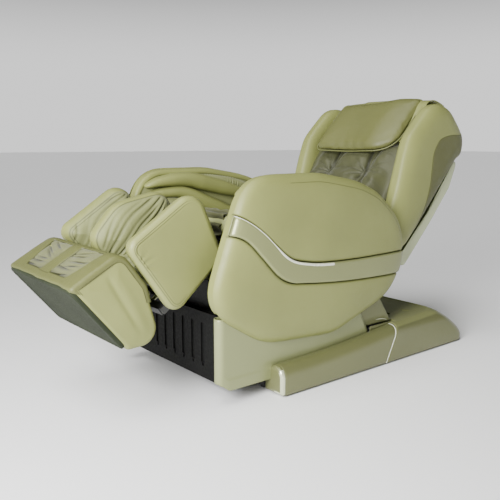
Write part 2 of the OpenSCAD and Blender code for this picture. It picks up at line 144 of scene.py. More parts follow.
def between(first, second, shares):
    """Rows of points from one path to another, one row for each share of the way."""
    return first[None] * (1 - shares)[:, None, None] + second[None] * shares[:, None, None]


def even(path, count, closed=True):
    """The path's points again, evenly spaced."""
    ring = np.vstack([path, path[:1]]) if closed else np.asarray(path, float)
    run = run_of(ring)
    stations = np.linspace(0, run[-1], count, endpoint=not closed)
    return np.stack([np.interp(stations, run, ring[:, k]) for k in range(ring.shape[1])], 1)


def right_of(path):
    """Unit steps square to an open path in its plane, on its right."""
    along = np.gradient(path, axis=0)
    along /= np.linalg.norm(along, axis=1)[:, None]
    return np.stack([along[:, 1], -along[:, 0]], 1)


def normals_of(path):
    """Outward normals of an evenly spaced closed anticlockwise outline."""
    along = np.roll(path, -1, 0) - np.roll(path, 1, 0)
    along /= np.linalg.norm(along, axis=1)[:, None]
    return np.stack([along[:, 1], -along[:, 0]], 1)


def depth_in(outline, points):
    """How far each inside point lies from the outline."""
    edge = np.roll(outline, -1, 0) - outline
    length = np.maximum(np.sum(edge * edge, axis=1), 1e-14)
    flat = np.asarray(points, float).reshape(-1, 2)
    offset = flat[:, None] - outline[None]
    along = np.clip(np.sum(offset * edge, 2) / length, 0, 1)
    distance = np.linalg.norm(offset - along[..., None] * edge, axis=2)
    return distance.min(1).reshape(np.shape(points)[:-1])


def at_depth(outline, path, centre, depth):
    """The path's points moved towards the centre until they lie that deep inside the outline."""
    low, high = np.zeros(len(path)), np.ones(len(path))
    for _ in range(15):
        middle = (low + high) / 2
        inside = depth_in(outline, path + (centre - path) * middle[:, None])
        low = np.where(inside < depth, middle, low)
        high = np.where(inside < depth, high, middle)
    return path + (centre - path) * low[:, None]


def smooth_step(low, high, value):
    """0 before low and 1 past high, with an eased rise between them."""
    t = np.clip((value - low) / (high - low), 0, 1)
    return t * t * (3 - 2 * t)


def bump_at(value, place, width):
    """1 at that place and falling off to 0 on both sides."""
    return np.exp(-((value - place) / width) ** 2)


RIPPLE_WAVES = 8       # straight waves added up for one ripple


def ripple(a, b, seed, scale):
    """Soft irregular waves, about -1 to 1, of about that wavelength."""
    draw = np.random.default_rng(seed)
    total = np.zeros(np.broadcast(a, b).shape)
    for _ in range(RIPPLE_WAVES):
        angle, phase = draw.uniform(0, 2 * np.pi, 2)
        length = scale * draw.uniform(0.6, 1.6)
        total += np.sin(2 * np.pi * (a * np.cos(angle) + b * np.sin(angle)) / length + phase)
    return total / RIPPLE_WAVES ** 0.5 / 1.4


# ---------- meshes ----------
def build(name, points, faces, smooth=True):
    mesh = bpy.data.meshes.new(name)
    mesh.from_pydata([tuple(p) for p in points], [], [tuple(f) for f in faces])
    mesh.validate()
    obj = bpy.data.objects.new(name, mesh)
    bpy.context.scene.collection.objects.link(obj)
    if smooth:
        mesh.polygons.foreach_set("use_smooth", [True] * len(mesh.polygons))
    return obj


def grid_faces(rows, columns, wrap_rows=False, wrap_columns=False):
    """The four-sided faces between the rows and columns of points."""
    faces = []
    for i in range(rows if wrap_rows else rows - 1):
        for j in range(columns if wrap_columns else columns - 1):
            i2, j2 = (i + 1) % rows, (j + 1) % columns
            faces.append((i * columns + j, i2 * columns + j, i2 * columns + j2, i * columns + j2))
    return faces


def face_outwards(obj, merge=0.0):
    """Turns every face outwards, after points nearer together than merge have become one."""
    shape = bmesh.new()
    shape.from_mesh(obj.data)
    if merge:
        bmesh.ops.remove_doubles(shape, verts=shape.verts, dist=merge)
    bmesh.ops.recalc_face_normals(shape, faces=shape.faces)
    shape.to_mesh(obj.data)
    shape.free()
    return obj


def set_shade(obj, values):
    """How dark each vertex is, from 0 to 1: painted shade in creases, seams and joints."""
    layer = obj.data.attributes.new("shade", "FLOAT", "POINT")
    layer.data.foreach_set("value", np.clip(values, 0, 1).astype(np.float32))


def dress(obj, *materials):
    for material in materials:
        obj.data.materials.append(material)
    return obj


TOUCHING = 1e-5          # points nearer together than this are one point


def grid(name, points, shade=None, wrap_columns=False):
    """A surface through points[row, column, xyz]."""
    rows, columns = points.shape[:2]
    obj = build(name, points.reshape(-1, 3), grid_faces(rows, columns, False, wrap_columns))
    if shade is not None:
        set_shade(obj, np.broadcast_to(shade, points.shape[:2]).reshape(-1))
    return obj


def skin(name, points, material, thickness, shade=None, offset=-1):
    """A sheet of that thickness through points[row, column, xyz]."""
    obj = face_outwards(grid(name, points, shade))
    solid = obj.modifiers.new("thick", "SOLIDIFY")
    solid.thickness = thickness
    solid.offset = offset
    solid.use_even_offset = False
    apply_modifiers(obj)
    return dress(obj, material)


def wrapped(outline, path, half, radius, drop, flat_columns):
    """A cover bent over an outline's edge from side to side: points in the plane for each step of the path.
    Returns x, how far each column lies below the outline, and ab[row, column]."""
    turn = np.linspace(0, np.pi / 2, 9)[1:]
    flat = np.linspace(0, half - radius, flat_columns)
    down = np.linspace(0, 1, 7)[1:]
    x = np.concatenate([flat, half - radius + radius * np.sin(turn), np.full(len(down), half)])
    below = np.concatenate([0 * flat, radius * (1 - np.cos(turn)), radius + down * (drop - radius)])
    x, below = np.concatenate([-x[:0:-1], x]), np.concatenate([below[:0:-1], below])
    middle = outline.mean(0)
    depths = [round(float(d), 6) for d in below]
    columns = {}
    for d, exact in zip(depths, below):
        columns[d] = at_depth(outline, path, middle, exact) if exact > 1e-6 else path
    return x, below, np.stack([columns[d] for d in depths], 1)


def walk(outline, start, end, count):
    """Evenly spaced points and outward normals, clockwise along an outline from near start to near end."""
    ring = even(outline, 1440)
    normal = normals_of(ring)
    first, last = nearest(ring, start), nearest(ring, end)
    run = [(first - k) % len(ring) for k in range((first - last) % len(ring) + 1)]
    path = even(ring[run], count, False)
    out = even(normal[run], count, False)
    return path, out / np.linalg.norm(out, axis=1)[:, None]


def stitch_line(name, points, radius, material):
    """A fine seam or piping drawn along points that lie on a cover."""
    return dress(tube(name, points, radius, 6), material)


def apply_modifiers(obj):
    bpy.context.view_layer.update()
    evaluated = obj.evaluated_get(bpy.context.evaluated_depsgraph_get())
    mesh = bpy.data.meshes.new_from_object(evaluated, preserve_all_data_layers=True,
                                           depsgraph=bpy.context.evaluated_depsgraph_get())
    obj.modifiers.clear()
    obj.data = mesh
    mesh.polygons.foreach_set("use_smooth", [True] * len(mesh.polygons))


def tube(name, path, radius, sides=8, closed=False):
    """A round cord along a path of points; radius is one number or one for each point."""
    path = np.asarray(path, float)
    radius = np.broadcast_to(radius, len(path))
    ahead = np.roll(path, -1, 0) - np.roll(path, 1, 0)
    if not closed:
        ahead[0], ahead[-1] = path[1] - path[0], path[-1] - path[-2]
    ahead /= np.linalg.norm(ahead, axis=1)[:, None]
    across = np.array([1.0, 0, 0]) if abs(ahead[0][0]) < 0.9 else np.array([0, 0, 1.0])
    turn = np.linspace(0, 2 * np.pi, sides, endpoint=False)
    rings = []
    for point, direction, r in zip(path, ahead, radius):
        across = across - direction * (across @ direction)
        across = across / np.linalg.norm(across)
        other = np.cross(direction, across)
        rings.append(point + r * (np.cos(turn)[:, None] * across + np.sin(turn)[:, None] * other))
    faces = grid_faces(len(path), sides, closed, True)
    points = np.concatenate(rings)
    if not closed:
        faces.append(tuple(range(sides)))
        faces.append(tuple(range(len(points) - 1, len(points) - 1 - sides, -1)))
    return face_outwards(build(name, points, faces))


class Pad:
    """A padded slab over a side outline. Its rings run from the middle of one face, over the rim,
    to the middle of the other: depth is the distance in from the outline, and x the place across."""

    def __init__(self, plane, outline, x_low, x_high, edge_low, edge_high, marks=(), around=176,
                 edge_steps=9, rim_rows=5, core_rings=14, centre=None, crown_low=0.0, crown_high=0.0):
        self.plane = plane
        self.outline = np.asarray(outline, float)
        path = even(self.outline, around)
        middle = np.array(centre if centre is not None else path.mean(0))
        deepest = float(depth_in(self.outline, middle[None])[0])

        def cap(edge, sign, face, crown):
            across, inward = edge
            steps = [inward * (1 - math.cos(t)) for t in np.linspace(0, np.pi / 2, edge_steps)]
            depths = sorted(set(np.round(steps + [m for m in marks if m < deepest * 0.8], 6)))
            depths = [d for d in depths if d < deepest * 0.85]
            rings = [at_depth(self.outline, path, middle, d) for d in depths]
            last = rings[-1]
            rings += [last + (middle - last) * t for t in np.linspace(0, 1, core_rings + 1)[1:-1]]
            out = []
            for ring in rings:
                d = depth_in(self.outline, ring)
                t = np.clip(1 - d / inward, 0, 1)
                x = face - sign * across * (1 - np.sqrt(1 - t * t))
                x = x + sign * crown * smooth_step(0, deepest, d)
                out.append((x, ring, d))
            return out, face + sign * crown

        low, middle_low = cap(edge_low, -1, x_low, crown_low)
        high, middle_high = cap(edge_high, 1, x_high, crown_high)
        rim_x = np.linspace(x_low + edge_low[0], x_high - edge_high[0], rim_rows + 2)[1:-1]
        rim = [(np.full(around, x), path, np.zeros(around)) for x in rim_x]
        rings = low[::-1] + rim + high
        zone = [-1] * len(low) + [0] * len(rim) + [1] * len(high)
        self.x = np.concatenate([[middle_low]] + [r[0] for r in rings] + [[middle_high]])
        self.ab = np.concatenate([middle[None]] + [r[1] for r in rings] + [middle[None]])
        self.depth = np.concatenate([[deepest]] + [r[2] for r in rings] + [[deepest]])
        self.zone = np.concatenate([[-1]] + [np.full(around, z) for z in zone] + [[1]])
        self.shade = np.zeros(len(self.x))
        faces = [(0, 1 + (j + 1) % around, 1 + j) for j in range(around)]
        for i in range(len(rings) - 1):
            for j in range(around):
                j2 = (j + 1) % around
                faces.append((1 + i * around + j, 1 + i * around + j2,
                              1 + (i + 1) * around + j2, 1 + (i + 1) * around + j))
        last = 1 + (len(rings) - 1) * around
        faces += [(last + j, last + (j + 1) % around, last + around) for j in range(around)]
        self.faces = faces

    @property
    def a(self):
        return self.ab[:, 0]

    @property
    def b(self):
        return self.ab[:, 1]

    def facing(self, da, db):
        """1 where the rim faces that way in the plane, 0 where it faces away."""
        offset = self.ab - self.ab[0]
        length = np.maximum(np.linalg.norm(offset, axis=1), 1e-6)
        return offset @ np.array([da, db]) / length

    def groove(self, depth_mark, how_deep, width, where=1.0):
        """A sewn seam: a line at that depth from the outline, pressed into the face and painted darker as
        shade.
        """
        press = how_deep * bump_at(self.depth, depth_mark, width) * where
        self.x = self.x - press * self.zone
        # painted shade along the seam line
        self.shade = self.shade + 0.75 * bump_at(self.depth, depth_mark, width) * where * (self.zone != 0)

    def finish(self, name, paint, *materials):
        """The pad as a piece; paint, if there is one, picks each face's material from its place."""
        points = self.plane.world(self.x, self.a, self.b)
        obj = face_outwards(build(name, points, self.faces))
        set_shade(obj, self.shade)
        dress(obj, *materials)
        if paint is not None:
            measures = (self.zone, self.depth, self.a, self.b)
            means = [np.array([values[list(face)].mean() for face in self.faces]) for values in measures]
            picked = paint(*means).astype(int)
            obj.data.polygons.foreach_set("material_index", picked.tolist())
        return obj


# ---------- materials ----------
class Shader:
    """A short way to write a node material."""

    def __init__(self, name, color, roughness, metallic=0.0):
        self.material = bpy.data.materials.new(name)
        self.material.use_nodes = True
        self.tree = self.material.node_tree
        self.bsdf = self.tree.nodes["Principled BSDF"]
        self.bsdf.inputs["Base Color"].default_value = (*color, 1)
        self.bsdf.inputs["Roughness"].default_value = roughness
        self.bsdf.inputs["Metallic"].default_value = metallic
        self.place = self.add("ShaderNodeTexCoord").outputs["Object"]

    def add(self, kind, **settings):
        node = self.tree.nodes.new(kind)
        for key, value in settings.items():
            setattr(node, key, value)
        return node

    def link(self, source, node, socket):
        self.tree.links.new(source, node.inputs[socket])

    def texture(self, kind, scale, squeeze=(1, 1, 1), **settings):
        mapping = self.add("ShaderNodeMapping")
        mapping.inputs["Scale"].default_value = squeeze
        self.link(self.place, mapping, "Vector")
        node = self.add(kind, **settings)
        self.link(mapping.outputs["Vector"], node, "Vector")
        node.inputs["Scale"].default_value = scale
        return node

    def noise(self, scale, detail=3.0, roughness=0.5, squeeze=(1, 1, 1)):
        node = self.texture("ShaderNodeTexNoise", scale, squeeze)
        node.inputs["Detail"].default_value = detail
        node.inputs["Roughness"].default_value = roughness
        return node.outputs["Fac"]

    def cells(self, scale, feature="DISTANCE_TO_EDGE"):
        return self.texture("ShaderNodeTexVoronoi", scale, feature=feature).outputs["Distance"]

    def range(self, source, low, high, to_low, to_high):
        node = self.add("ShaderNodeMapRange")
        self.link(source, node, "Value")
        for socket, value in zip(("From Min", "From Max", "To Min", "To Max"), (low, high, to_low, to_high)):
            node.inputs[socket].default_value = value
        return node.outputs["Result"]

    def mix(self, factor, first, second):
        """Two colours mixed; each is a colour or a socket."""
        node = self.add("ShaderNodeMix", data_type="RGBA")
        self.link(factor, node, "Factor")
        for socket, value in ((6, first), (7, second)):
            if isinstance(value, tuple):
                node.inputs[socket].default_value = (*value, 1)
            else:
                self.tree.links.new(value, node.inputs[socket])
        return node.outputs[2]

    def bump(self, height, strength, distance, below=None):
        node = self.add("ShaderNodeBump")
        node.inputs["Strength"].default_value = strength
        node.inputs["Distance"].default_value = distance
        self.link(height, node, "Height")
        if below is not None:
            self.link(below, node, "Normal")
        return node.outputs["Normal"]

    def done(self, color=None, roughness=None, normal=None):
        for socket, value in (("Base Color", color), ("Roughness", roughness), ("Normal", normal)):
            if value is not None:
                self.link(value, self.bsdf, socket)
        return self.material


def scaled(color, factor):
    return tuple(min(1.0, c * factor) for c in color)


def shaded(shader, color_socket, dark):
    """The colour, going over to a dark one as painted shade where the mesh's shade attribute says so."""
    attribute = shader.add("ShaderNodeAttribute", attribute_name="shade", attribute_type="GEOMETRY")
    return shader.mix(attribute.outputs["Fac"], color_socket, dark)


def leather(name, color, roughness=0.42, grain=1.0):
    """Leather with fine pores; grain says how deep the pores and the fine grain look."""
    s = Shader(name, color, roughness)
    tone = s.mix(s.range(s.noise(4.5, 4), 0.35, 0.65, 0, 1), scaled(color, 0.93), scaled(color, 1.06))
    pores = s.cells(620)
    tone = s.mix(s.range(pores, 0.0, 0.10, 0.22, 0.0), tone, scaled(color, 0.72))
    # painted shade: darker where the mesh's shade attribute is high
    tone = shaded(s, tone, scaled(color, 0.16))
    rough = s.range(s.noise(38, 5, 0.6), 0.3, 0.7, roughness - 0.05, roughness + 0.08)
    normal = s.bump(s.noise(26, 4, 0.55), 0.10, 0.006)
    normal = s.bump(s.range(pores, 0, 0.12, 0, 1), 0.16 * grain, 0.0006, normal)
    normal = s.bump(s.noise(1500, 2), 0.10 * grain, 0.0004, normal)
    s.bsdf.inputs["Specular IOR Level"].default_value = 0.42
    return s.done(tone, rough, normal)


def fabric(name, color, roughness=0.62):
    """A soft thin leather-like lining, sewn so that it can gather."""
    s = Shader(name, color, roughness)
    tone = s.mix(s.range(s.noise(9, 5, 0.6), 0.3, 0.7, 0, 1), scaled(color, 0.90), scaled(color, 1.08))
    weave = s.cells(900, "F1")
    tone = s.mix(s.range(weave, 0, 0.6, 0, 0.22), tone, scaled(color, 0.7))
    # painted shade: darker where the mesh's shade attribute is high
    tone = shaded(s, tone, scaled(color, 0.14))
    normal = s.bump(s.noise(60, 4, 0.6), 0.22, 0.004)
    normal = s.bump(weave, 0.18, 0.0005, normal)
    s.bsdf.inputs["Sheen Weight"].default_value = 0.15
    s.bsdf.inputs["Sheen Roughness"].default_value = 0.5
    return s.done(tone, None, normal)


def painted(name, color, roughness, metallic, coat=0.25, specular=0.5):
    """Paint with very fine flakes under a thin clear coat."""
    s = Shader(name, color, roughness, metallic)
    tone = s.mix(s.range(s.noise(2.4, 3), 0.35, 0.65, 0, 1), scaled(color, 0.95), scaled(color, 1.05))
    flakes = s.cells(2200, "F1")
    tone = s.mix(s.range(flakes, 0, 0.7, 0, 0.20), tone, scaled(color, 1.10))
    rough = s.range(s.noise(70, 4), 0.3, 0.7, roughness - 0.04, roughness + 0.05)
    normal = s.bump(s.noise(420, 2), 0.05, 0.0004)
    s.bsdf.inputs["Coat Weight"].default_value = coat
    s.bsdf.inputs["Specular IOR Level"].default_value = specular
    s.bsdf.inputs["Coat Roughness"].default_value = 0.18
    return s.done(tone, rough, normal)


def moulded(name, color, roughness, grain=0.25, scale=900, specular=0.45):
    """Moulded plastic, rubber or powder coat with a fine grain and slight dust."""
    s = Shader(name, color, roughness)
    s.bsdf.inputs["Specular IOR Level"].default_value = specular
    tone = s.mix(s.range(s.noise(6, 4), 0.35, 0.65, 0, 1), scaled(color, 0.86), scaled(color, 1.14))
    tone = s.mix(s.range(s.noise(60, 6, 0.7), 0.56, 0.75, 0, 0.4), tone, scaled(color, 1.6))
    rough = s.range(s.noise(110, 4), 0.3, 0.7, roughness - 0.08, roughness + 0.08)
    normal = s.bump(s.cells(scale, "F1"), grain, 0.0006)
    return s.done(tone, rough, normal)


def metal(name, color, roughness, brushed=True):
    s = Shader(name, color, roughness, 1.0)
    squeeze = (60, 4, 60) if brushed else (1, 1, 1)
    streaks = s.range(s.noise(12, 4, 0.6, squeeze), 0.3, 0.7, 0, 1)
    tone = s.mix(streaks, scaled(color, 0.85), scaled(color, 1.08))
    tone = s.mix(s.range(s.noise(18, 6, 0.7), 0.60, 0.78, 0, 0.5), tone, (0.05, 0.045, 0.04))
    rough = s.range(s.noise(30, 4, 0.6, squeeze), 0.3, 0.7, roughness - 0.06, roughness + 0.12)
    return s.done(tone, rough, s.bump(s.noise(80, 3, 0.6, squeeze), 0.08, 0.0005))


OLIVE = (0.246, 0.264, 0.084)
LEATHER = leather("olive_leather", OLIVE)
LEATHER_BAND = leather("olive_leather_band", (0.265, 0.283, 0.099), 0.40)
LEATHER_FOOT = leather("olive_leather_foot_cover", (0.122, 0.130, 0.041), 0.46)
# darker copy of the olive leather: painted shade on the wings' rear panels, and the thread of the arm seam
LEATHER_SEAM_AND_SHADE = leather("olive_leather_wing_rear", (0.100, 0.106, 0.033), 0.46)
LEATHER_HEAD = leather("olive_leather_pillow", (0.128, 0.135, 0.042), 0.44)
LINING = fabric("olive_lining", (0.232, 0.250, 0.094))
LINING_SEAT = fabric("olive_seat_lining", (0.328, 0.352, 0.140))
LINING_BACK = fabric("olive_back_lining", (0.060, 0.064, 0.020), 0.56)
LINING_FOOT = fabric("olive_foot_lining", (0.150, 0.158, 0.060), 0.60)
LINING_APRON = fabric("olive_apron_lining", (0.080, 0.085, 0.028), 0.60)
LINING_DEEP = fabric("olive_deep_lining", (0.045, 0.045, 0.018), 0.7)
PIPING = leather("olive_piping", (0.127, 0.136, 0.046), 0.45, 0.5)
SEAM = leather("seam_thread", (0.060, 0.060, 0.020), 0.6, 0.3)
CHAMPAGNE = painted("champagne_paint", (0.152, 0.160, 0.064), 0.40, 0.25)
DECK = painted("champagne_deck", (0.172, 0.182, 0.074), 0.55, 0.0, coat=0.0, specular=0.15)
SKIRT = painted("champagne_skirt", (0.255, 0.277, 0.123), 0.42, 0.15)
BAND = painted("champagne_band", (0.246, 0.264, 0.109), 0.34, 0.25)
# bright trim paint; on the rail noses it is a painted highlight on the rounded corner
BRIGHT_TRIM_AND_HIGHLIGHT = painted("bright_trim", (0.560, 0.590, 0.400), 0.20, 0.35)
# ivory paint for the inlay and the rail joint strips, and a painted highlight along the front of the arm
# band's edge
IVORY_INLAY_AND_HIGHLIGHT = painted("ivory_inlay_and_painted_highlight", (0.780, 0.800, 0.650), 0.25, 0.10)
SHELL = painted("cream_shell", (0.480, 0.530, 0.310), 0.34, 0.05)
BLACK = moulded("black_plastic", (0.004, 0.004, 0.003), 0.5, specular=0.25)
BLACK_GRILLE = moulded("black_grille", (0.0012, 0.0013, 0.0010), 0.65, specular=0.18)
GREY = moulded("grey_plastic", (0.120, 0.120, 0.120), 0.5)
RUBBER = moulded("wheel_rubber", (0.030, 0.030, 0.030), 0.75, 0.4, 500)
ROLLER = moulded("roller_plastic", (0.430, 0.290, 0.140), 0.42, 0.15)
SOLE = moulded("grey_sole", (0.026, 0.032, 0.018), 0.75, 0.25, 700, specular=0.12)
RED = moulded("switch_red", (0.350, 0.020, 0.020), 0.35, 0.1)
STEEL = metal("machined_steel", (0.52, 0.52, 0.51), 0.30)
CHROME = metal("chrome_tube", (0.80, 0.80, 0.79), 0.08, False)
FRAME_STEEL = moulded("powder_coated_steel", (0.045, 0.045, 0.045), 0.55, 0.3, 1200)


# ---------- curves and other shared shapes ----------
def curve(knots, values):
    """A smooth curve b(a) through a few knots that never overshoots between them."""
    knots = np.array(knots, float)
    a, b = knots[:, 0], knots[:, 1]
    slope = np.diff(b) / np.diff(a)
    tangent = np.concatenate([[slope[0]], (slope[1:] + slope[:-1]) / 2, [slope[-1]]])
    flat = slope[1:] * slope[:-1] <= 0
    tangent[1:-1][flat] = 0
    values = np.clip(values, a[0], a[-1])
    k = np.clip(np.searchsorted(a, values, side="right") - 1, 0, len(a) - 2)
    step = a[k + 1] - a[k]
    t = (values - a[k]) / step
    return ((2 * t**3 - 3 * t**2 + 1) * b[k] + (t**3 - 2 * t**2 + t) * step * tangent[k]
            + (3 * t**2 - 2 * t**3) * b[k + 1] + (t**3 - t**2) * step * tangent[k + 1])


def spline(points, count):
    """A smooth path through a few points, evenly spaced."""
    points = np.asarray(points, float)
    ends = np.vstack([2 * points[0] - points[1], points, 2 * points[-1] - points[-2]])
    out = []
    for i in range(1, len(ends) - 2):
        p0, p1, p2, p3 = ends[i - 1:i + 3]
        t = np.linspace(0, 1, 24, endpoint=False)[:, None]
        out.append(0.5 * (2 * p1 + (p2 - p0) * t + (2 * p0 - 5 * p1 + 4 * p2 - p3) * t**2
                          + (3 * p1 - p0 - 3 * p2 + p3) * t**3))
    return even(np.vstack(out + [points[-1:]]), count, closed=False)


def clip_outline(outline, corner, inward):
    """The part of a convex outline on the inward side of a line through a point."""
    corner, inward = np.array(corner, float), np.array(inward, float)
    side = (outline - corner) @ inward
    out = []
    for i in range(len(outline)):
        j = (i + 1) % len(outline)
        if side[i] >= 0:
            out.append(outline[i])
        if side[i] * side[j] < 0:
            out.append(outline[i] + (outline[j] - outline[i]) * side[i] / (side[i] - side[j]))
    return convex(out)


def grown(outline, amount):
    """A convex outline made larger all round, or smaller if the amount is negative."""
    path = even(convex(outline), 240)
    return convex(path + normals_of(path) * amount)


def spaced(count, *marks):
    """Even steps from 0 to 1 with extra ones close to both ends and round the marks."""
    steps = set(np.round(np.linspace(0, 1, count), 5))
    for mark in marks:
        steps |= {round(min(1, max(0, mark + d)), 5) for d in (-0.006, -0.003, 0, 0.003, 0.006)}
    return np.array(sorted(steps))


def mirrored(obj, name):
    """The same piece on the other side of the chair."""
    twin = bpy.data.objects.new(name, obj.data.copy())
    bpy.context.scene.collection.objects.link(twin)
    co = np.zeros(len(twin.data.vertices) * 3)
    twin.data.vertices.foreach_get("co", co)
    co[0::3] *= -1
    twin.data.vertices.foreach_set("co", co)
    twin.data.flip_normals()
    twin.data.update()
    return twin


def puff(obj, voxel, pressure, cap):
    """Blows the piece up a little as cloth, by no more than the cap, so it swells like a stuffed cover."""
    remesh = obj.modifiers.new("remesh", "REMESH")
    remesh.mode, remesh.voxel_size, remesh.use_smooth_shade = "VOXEL", voxel, True
    apply_modifiers(obj)
    count = len(obj.data.vertices)
    before = np.zeros(count * 3)
    obj.data.vertices.foreach_get("co", before)
    cloth = obj.modifiers.new("cloth", "CLOTH")
    settings = cloth.settings
    settings.quality = 5
    settings.use_pressure = True
    settings.uniform_pressure_force = pressure
    settings.tension_stiffness = settings.compression_stiffness = 12.0
    settings.bending_stiffness = 0.6
    settings.effector_weights.gravity = 0
    cloth.collision_settings.use_collision = False
    scene = bpy.context.scene
    for frame_number in range(1, 21):
        scene.frame_set(frame_number)
    evaluated = obj.evaluated_get(bpy.context.evaluated_depsgraph_get())
    after = np.zeros(count * 3)
    evaluated.data.vertices.foreach_get("co", after)
    obj.modifiers.clear()
    scene.frame_set(1)
    move = (after - before).reshape(-1, 3)
    length = np.linalg.norm(move, axis=1)
    move *= np.minimum(1, cap / np.maximum(length, 1e-9))[:, None]
    obj.data.vertices.foreach_set("co", (before.reshape(-1, 3) + move).reshape(-1))
    soften = obj.modifiers.new("soften", "SMOOTH")
    soften.iterations, soften.factor = 2, 0.5
    apply_modifiers(obj)
    return obj


def place(obj, body, slot_name, *nodes, fill=None):
    """Puts the piece on its body, in place of those nodes; fill is not used."""
    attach(obj, body)
    if nodes:
        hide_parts(*nodes)
    return obj


def both_sides(piece, body, slot_name, *nodes, fill=None):
    """Places a left piece and its mirrored twin; {} in a node's name stands for the side."""
    twin = mirrored(piece, piece.name.replace("_left", "_right"))
    for obj, side in ((piece, "left"), (twin, "right")):
        place(obj, body, slot_name, *[node.format(side) for node in nodes], fill=fill)


# ---------- camera, floor and light ----------
def studio():
    """The camera, a pale floor, a sky that is brighter near the horizon, and two lamps."""
    camera = bpy.data.objects.new("camera", bpy.data.cameras.new("camera"))
    bpy.context.scene.collection.objects.link(camera)
    camera.location = (1.953, -1.915, 0.860)
    turn, pitch = math.radians(51), math.radians(9.4)
    ahead = Vector((-math.sin(turn) * math.cos(pitch), math.cos(turn) * math.cos(pitch), -math.sin(pitch)))
    camera.rotation_euler = ahead.to_track_quat("-Z", "Y").to_euler()
    camera.data.lens, camera.data.sensor_width = 46.44, 36
    bpy.context.scene.camera = camera

    corners = [(-60, -60, 0), (60, -60, 0), (60, 60, 0), (-60, 60, 0)]
    floor = build("studio_floor", corners, [(0, 1, 2, 3)], smooth=False)
    pale = Shader("pale_floor", (0.92, 0.92, 0.92), 0.85)
    dress(floor, pale.done(pale.mix(pale.noise(0.8, 2), (0.91, 0.91, 0.91), (0.93, 0.93, 0.93))))

    world = bpy.data.worlds.new("studio")
    world.use_nodes = True
    tree = world.node_tree
    direction = tree.nodes.new("ShaderNodeTexCoord").outputs["Generated"]
    split = tree.nodes.new("ShaderNodeSeparateXYZ")
    tree.links.new(direction, split.inputs["Vector"])
    height = tree.nodes.new("ShaderNodeMapRange")
    height.interpolation_type = "SMOOTHSTEP"
    tree.links.new(split.outputs["Z"], height.inputs["Value"])
    for socket, value in (("From Min", 0.10), ("From Max", 0.32), ("To Min", 1.10), ("To Max", 0.09)):
        height.inputs[socket].default_value = value
    tree.links.new(height.outputs["Result"], tree.nodes["Background"].inputs["Strength"])
    tree.nodes["Background"].inputs["Color"].default_value = (1, 1, 1, 1)
    bpy.context.scene.world = world

    def lamp(name, kind, spot, energy):
        light = bpy.data.objects.new(name, bpy.data.lights.new(name, kind))
        bpy.context.scene.collection.objects.link(light)
        light.location = spot
        light.data.energy = energy
        light.rotation_euler = (Vector((0, -0.1, 0.5)) - Vector(spot)).to_track_quat("-Z", "Y").to_euler()
        return light.data

    lamp("sky", "SUN", (0.2, -1.6, 3.4), 2.5).angle = math.radians(40)
    lamp("key", "AREA", (1.25, -2.9, 1.5), 180).size = 1.1


# ---------- hard parts keep their CAD shapes ----------
CAD_LOOKS = {
    "base_frame": FRAME_STEEL, "floor_pads": RUBBER, "transport_wheels": RUBBER, "power_inlet": BLACK,
    "power_switch": RED, "carriage_frame": FRAME_STEEL, "front_roller_axle": STEEL, "rear_roller_axle": STEEL,
    "front_panel": BLACK_GRILLE, "front_upper_panel": BLACK, "air_pump": GREY, "control_box": GREY,
    "seat_pan": FRAME_STEEL, "back_frame": FRAME_STEEL, "massage_carriage": GREY, "kneading_arms": STEEL,
    "upper_rollers": ROLLER, "lower_rollers": ROLLER, "back_actuator": GREY, "back_actuator_rod": STEEL,
    "leg_frame": FRAME_STEEL, "leg_actuator": GREY, "leg_actuator_rod": STEEL, "foot_slide": CHROME,
    "foot_rollers": ROLLER,
}


def dress_cad():
    """Gives the CAD parts that stay visible their materials."""
    for node, material in CAD_LOOKS.items():
        data = frame["nodes"][node].data
        data.materials.clear()
        data.materials.append(material)


# ---------- base ----------
RAIL_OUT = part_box("rail_cover_left")[1].x
COVER_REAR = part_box("base_rear_cover")[1].y
COVER_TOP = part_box("base_rear_cover")[1].z
RAIL_IN, RAIL_EDGE = 0.345, 0.041       # a rail cover's inner side, and the radius of its outer edge
RAIL_FRONT = -0.500
# how high a rail cover's top lies along it: (y, z)
RAIL_TOP = [(-0.540, 0.106), (-0.300, 0.1115), (-0.100, 0.1245), (0.120, 0.1445), (0.300, 0.148)]


def split_y(z):
    """Where the leaning joint between the rail covers and the rear cover lies at height z."""
    return 0.030 + 0.5 * z


def rail_section(top, inset=0.0):
    """A rail cover's section, from the floor up its outer side and over the top to its inner edge."""
    turn = np.linspace(0, np.pi / 2, 15)
    side_z = np.linspace(0.006, top - RAIL_EDGE, 8)[:-1]
    arc = np.stack([RAIL_OUT - RAIL_EDGE + (RAIL_EDGE - inset) * np.cos(turn),
                    top - RAIL_EDGE + (RAIL_EDGE - inset) * np.sin(turn)], 1)
    side = np.stack([np.full(len(side_z), RAIL_OUT - inset), side_z], 1)
    inner = np.array([(RAIL_IN + 0.004, top - inset), (RAIL_IN + 0.001, top - inset - 0.001),
                      (RAIL_IN, top - inset - 0.004), (RAIL_IN, top - 0.034)])
    return np.vstack([side, arc, inner])


def rail_at(t, inset=0.0, shift=0.0):
    """The rail section at a share t of the way from the front to the leaning joint."""
    y = RAIL_FRONT + t * (split_y(0.07) - RAIL_FRONT)
    y = np.full(len(rail_section(0.1)), y)
    for _ in range(4):
        tops = curve(RAIL_TOP, y)
        section = np.array([rail_section(float(top), inset)[k] for k, top in enumerate(tops)])
        y = RAIL_FRONT + t * (split_y(section[:, 1]) + shift - RAIL_FRONT)
    return np.stack([section[:, 0], y, section[:, 1]], 1)


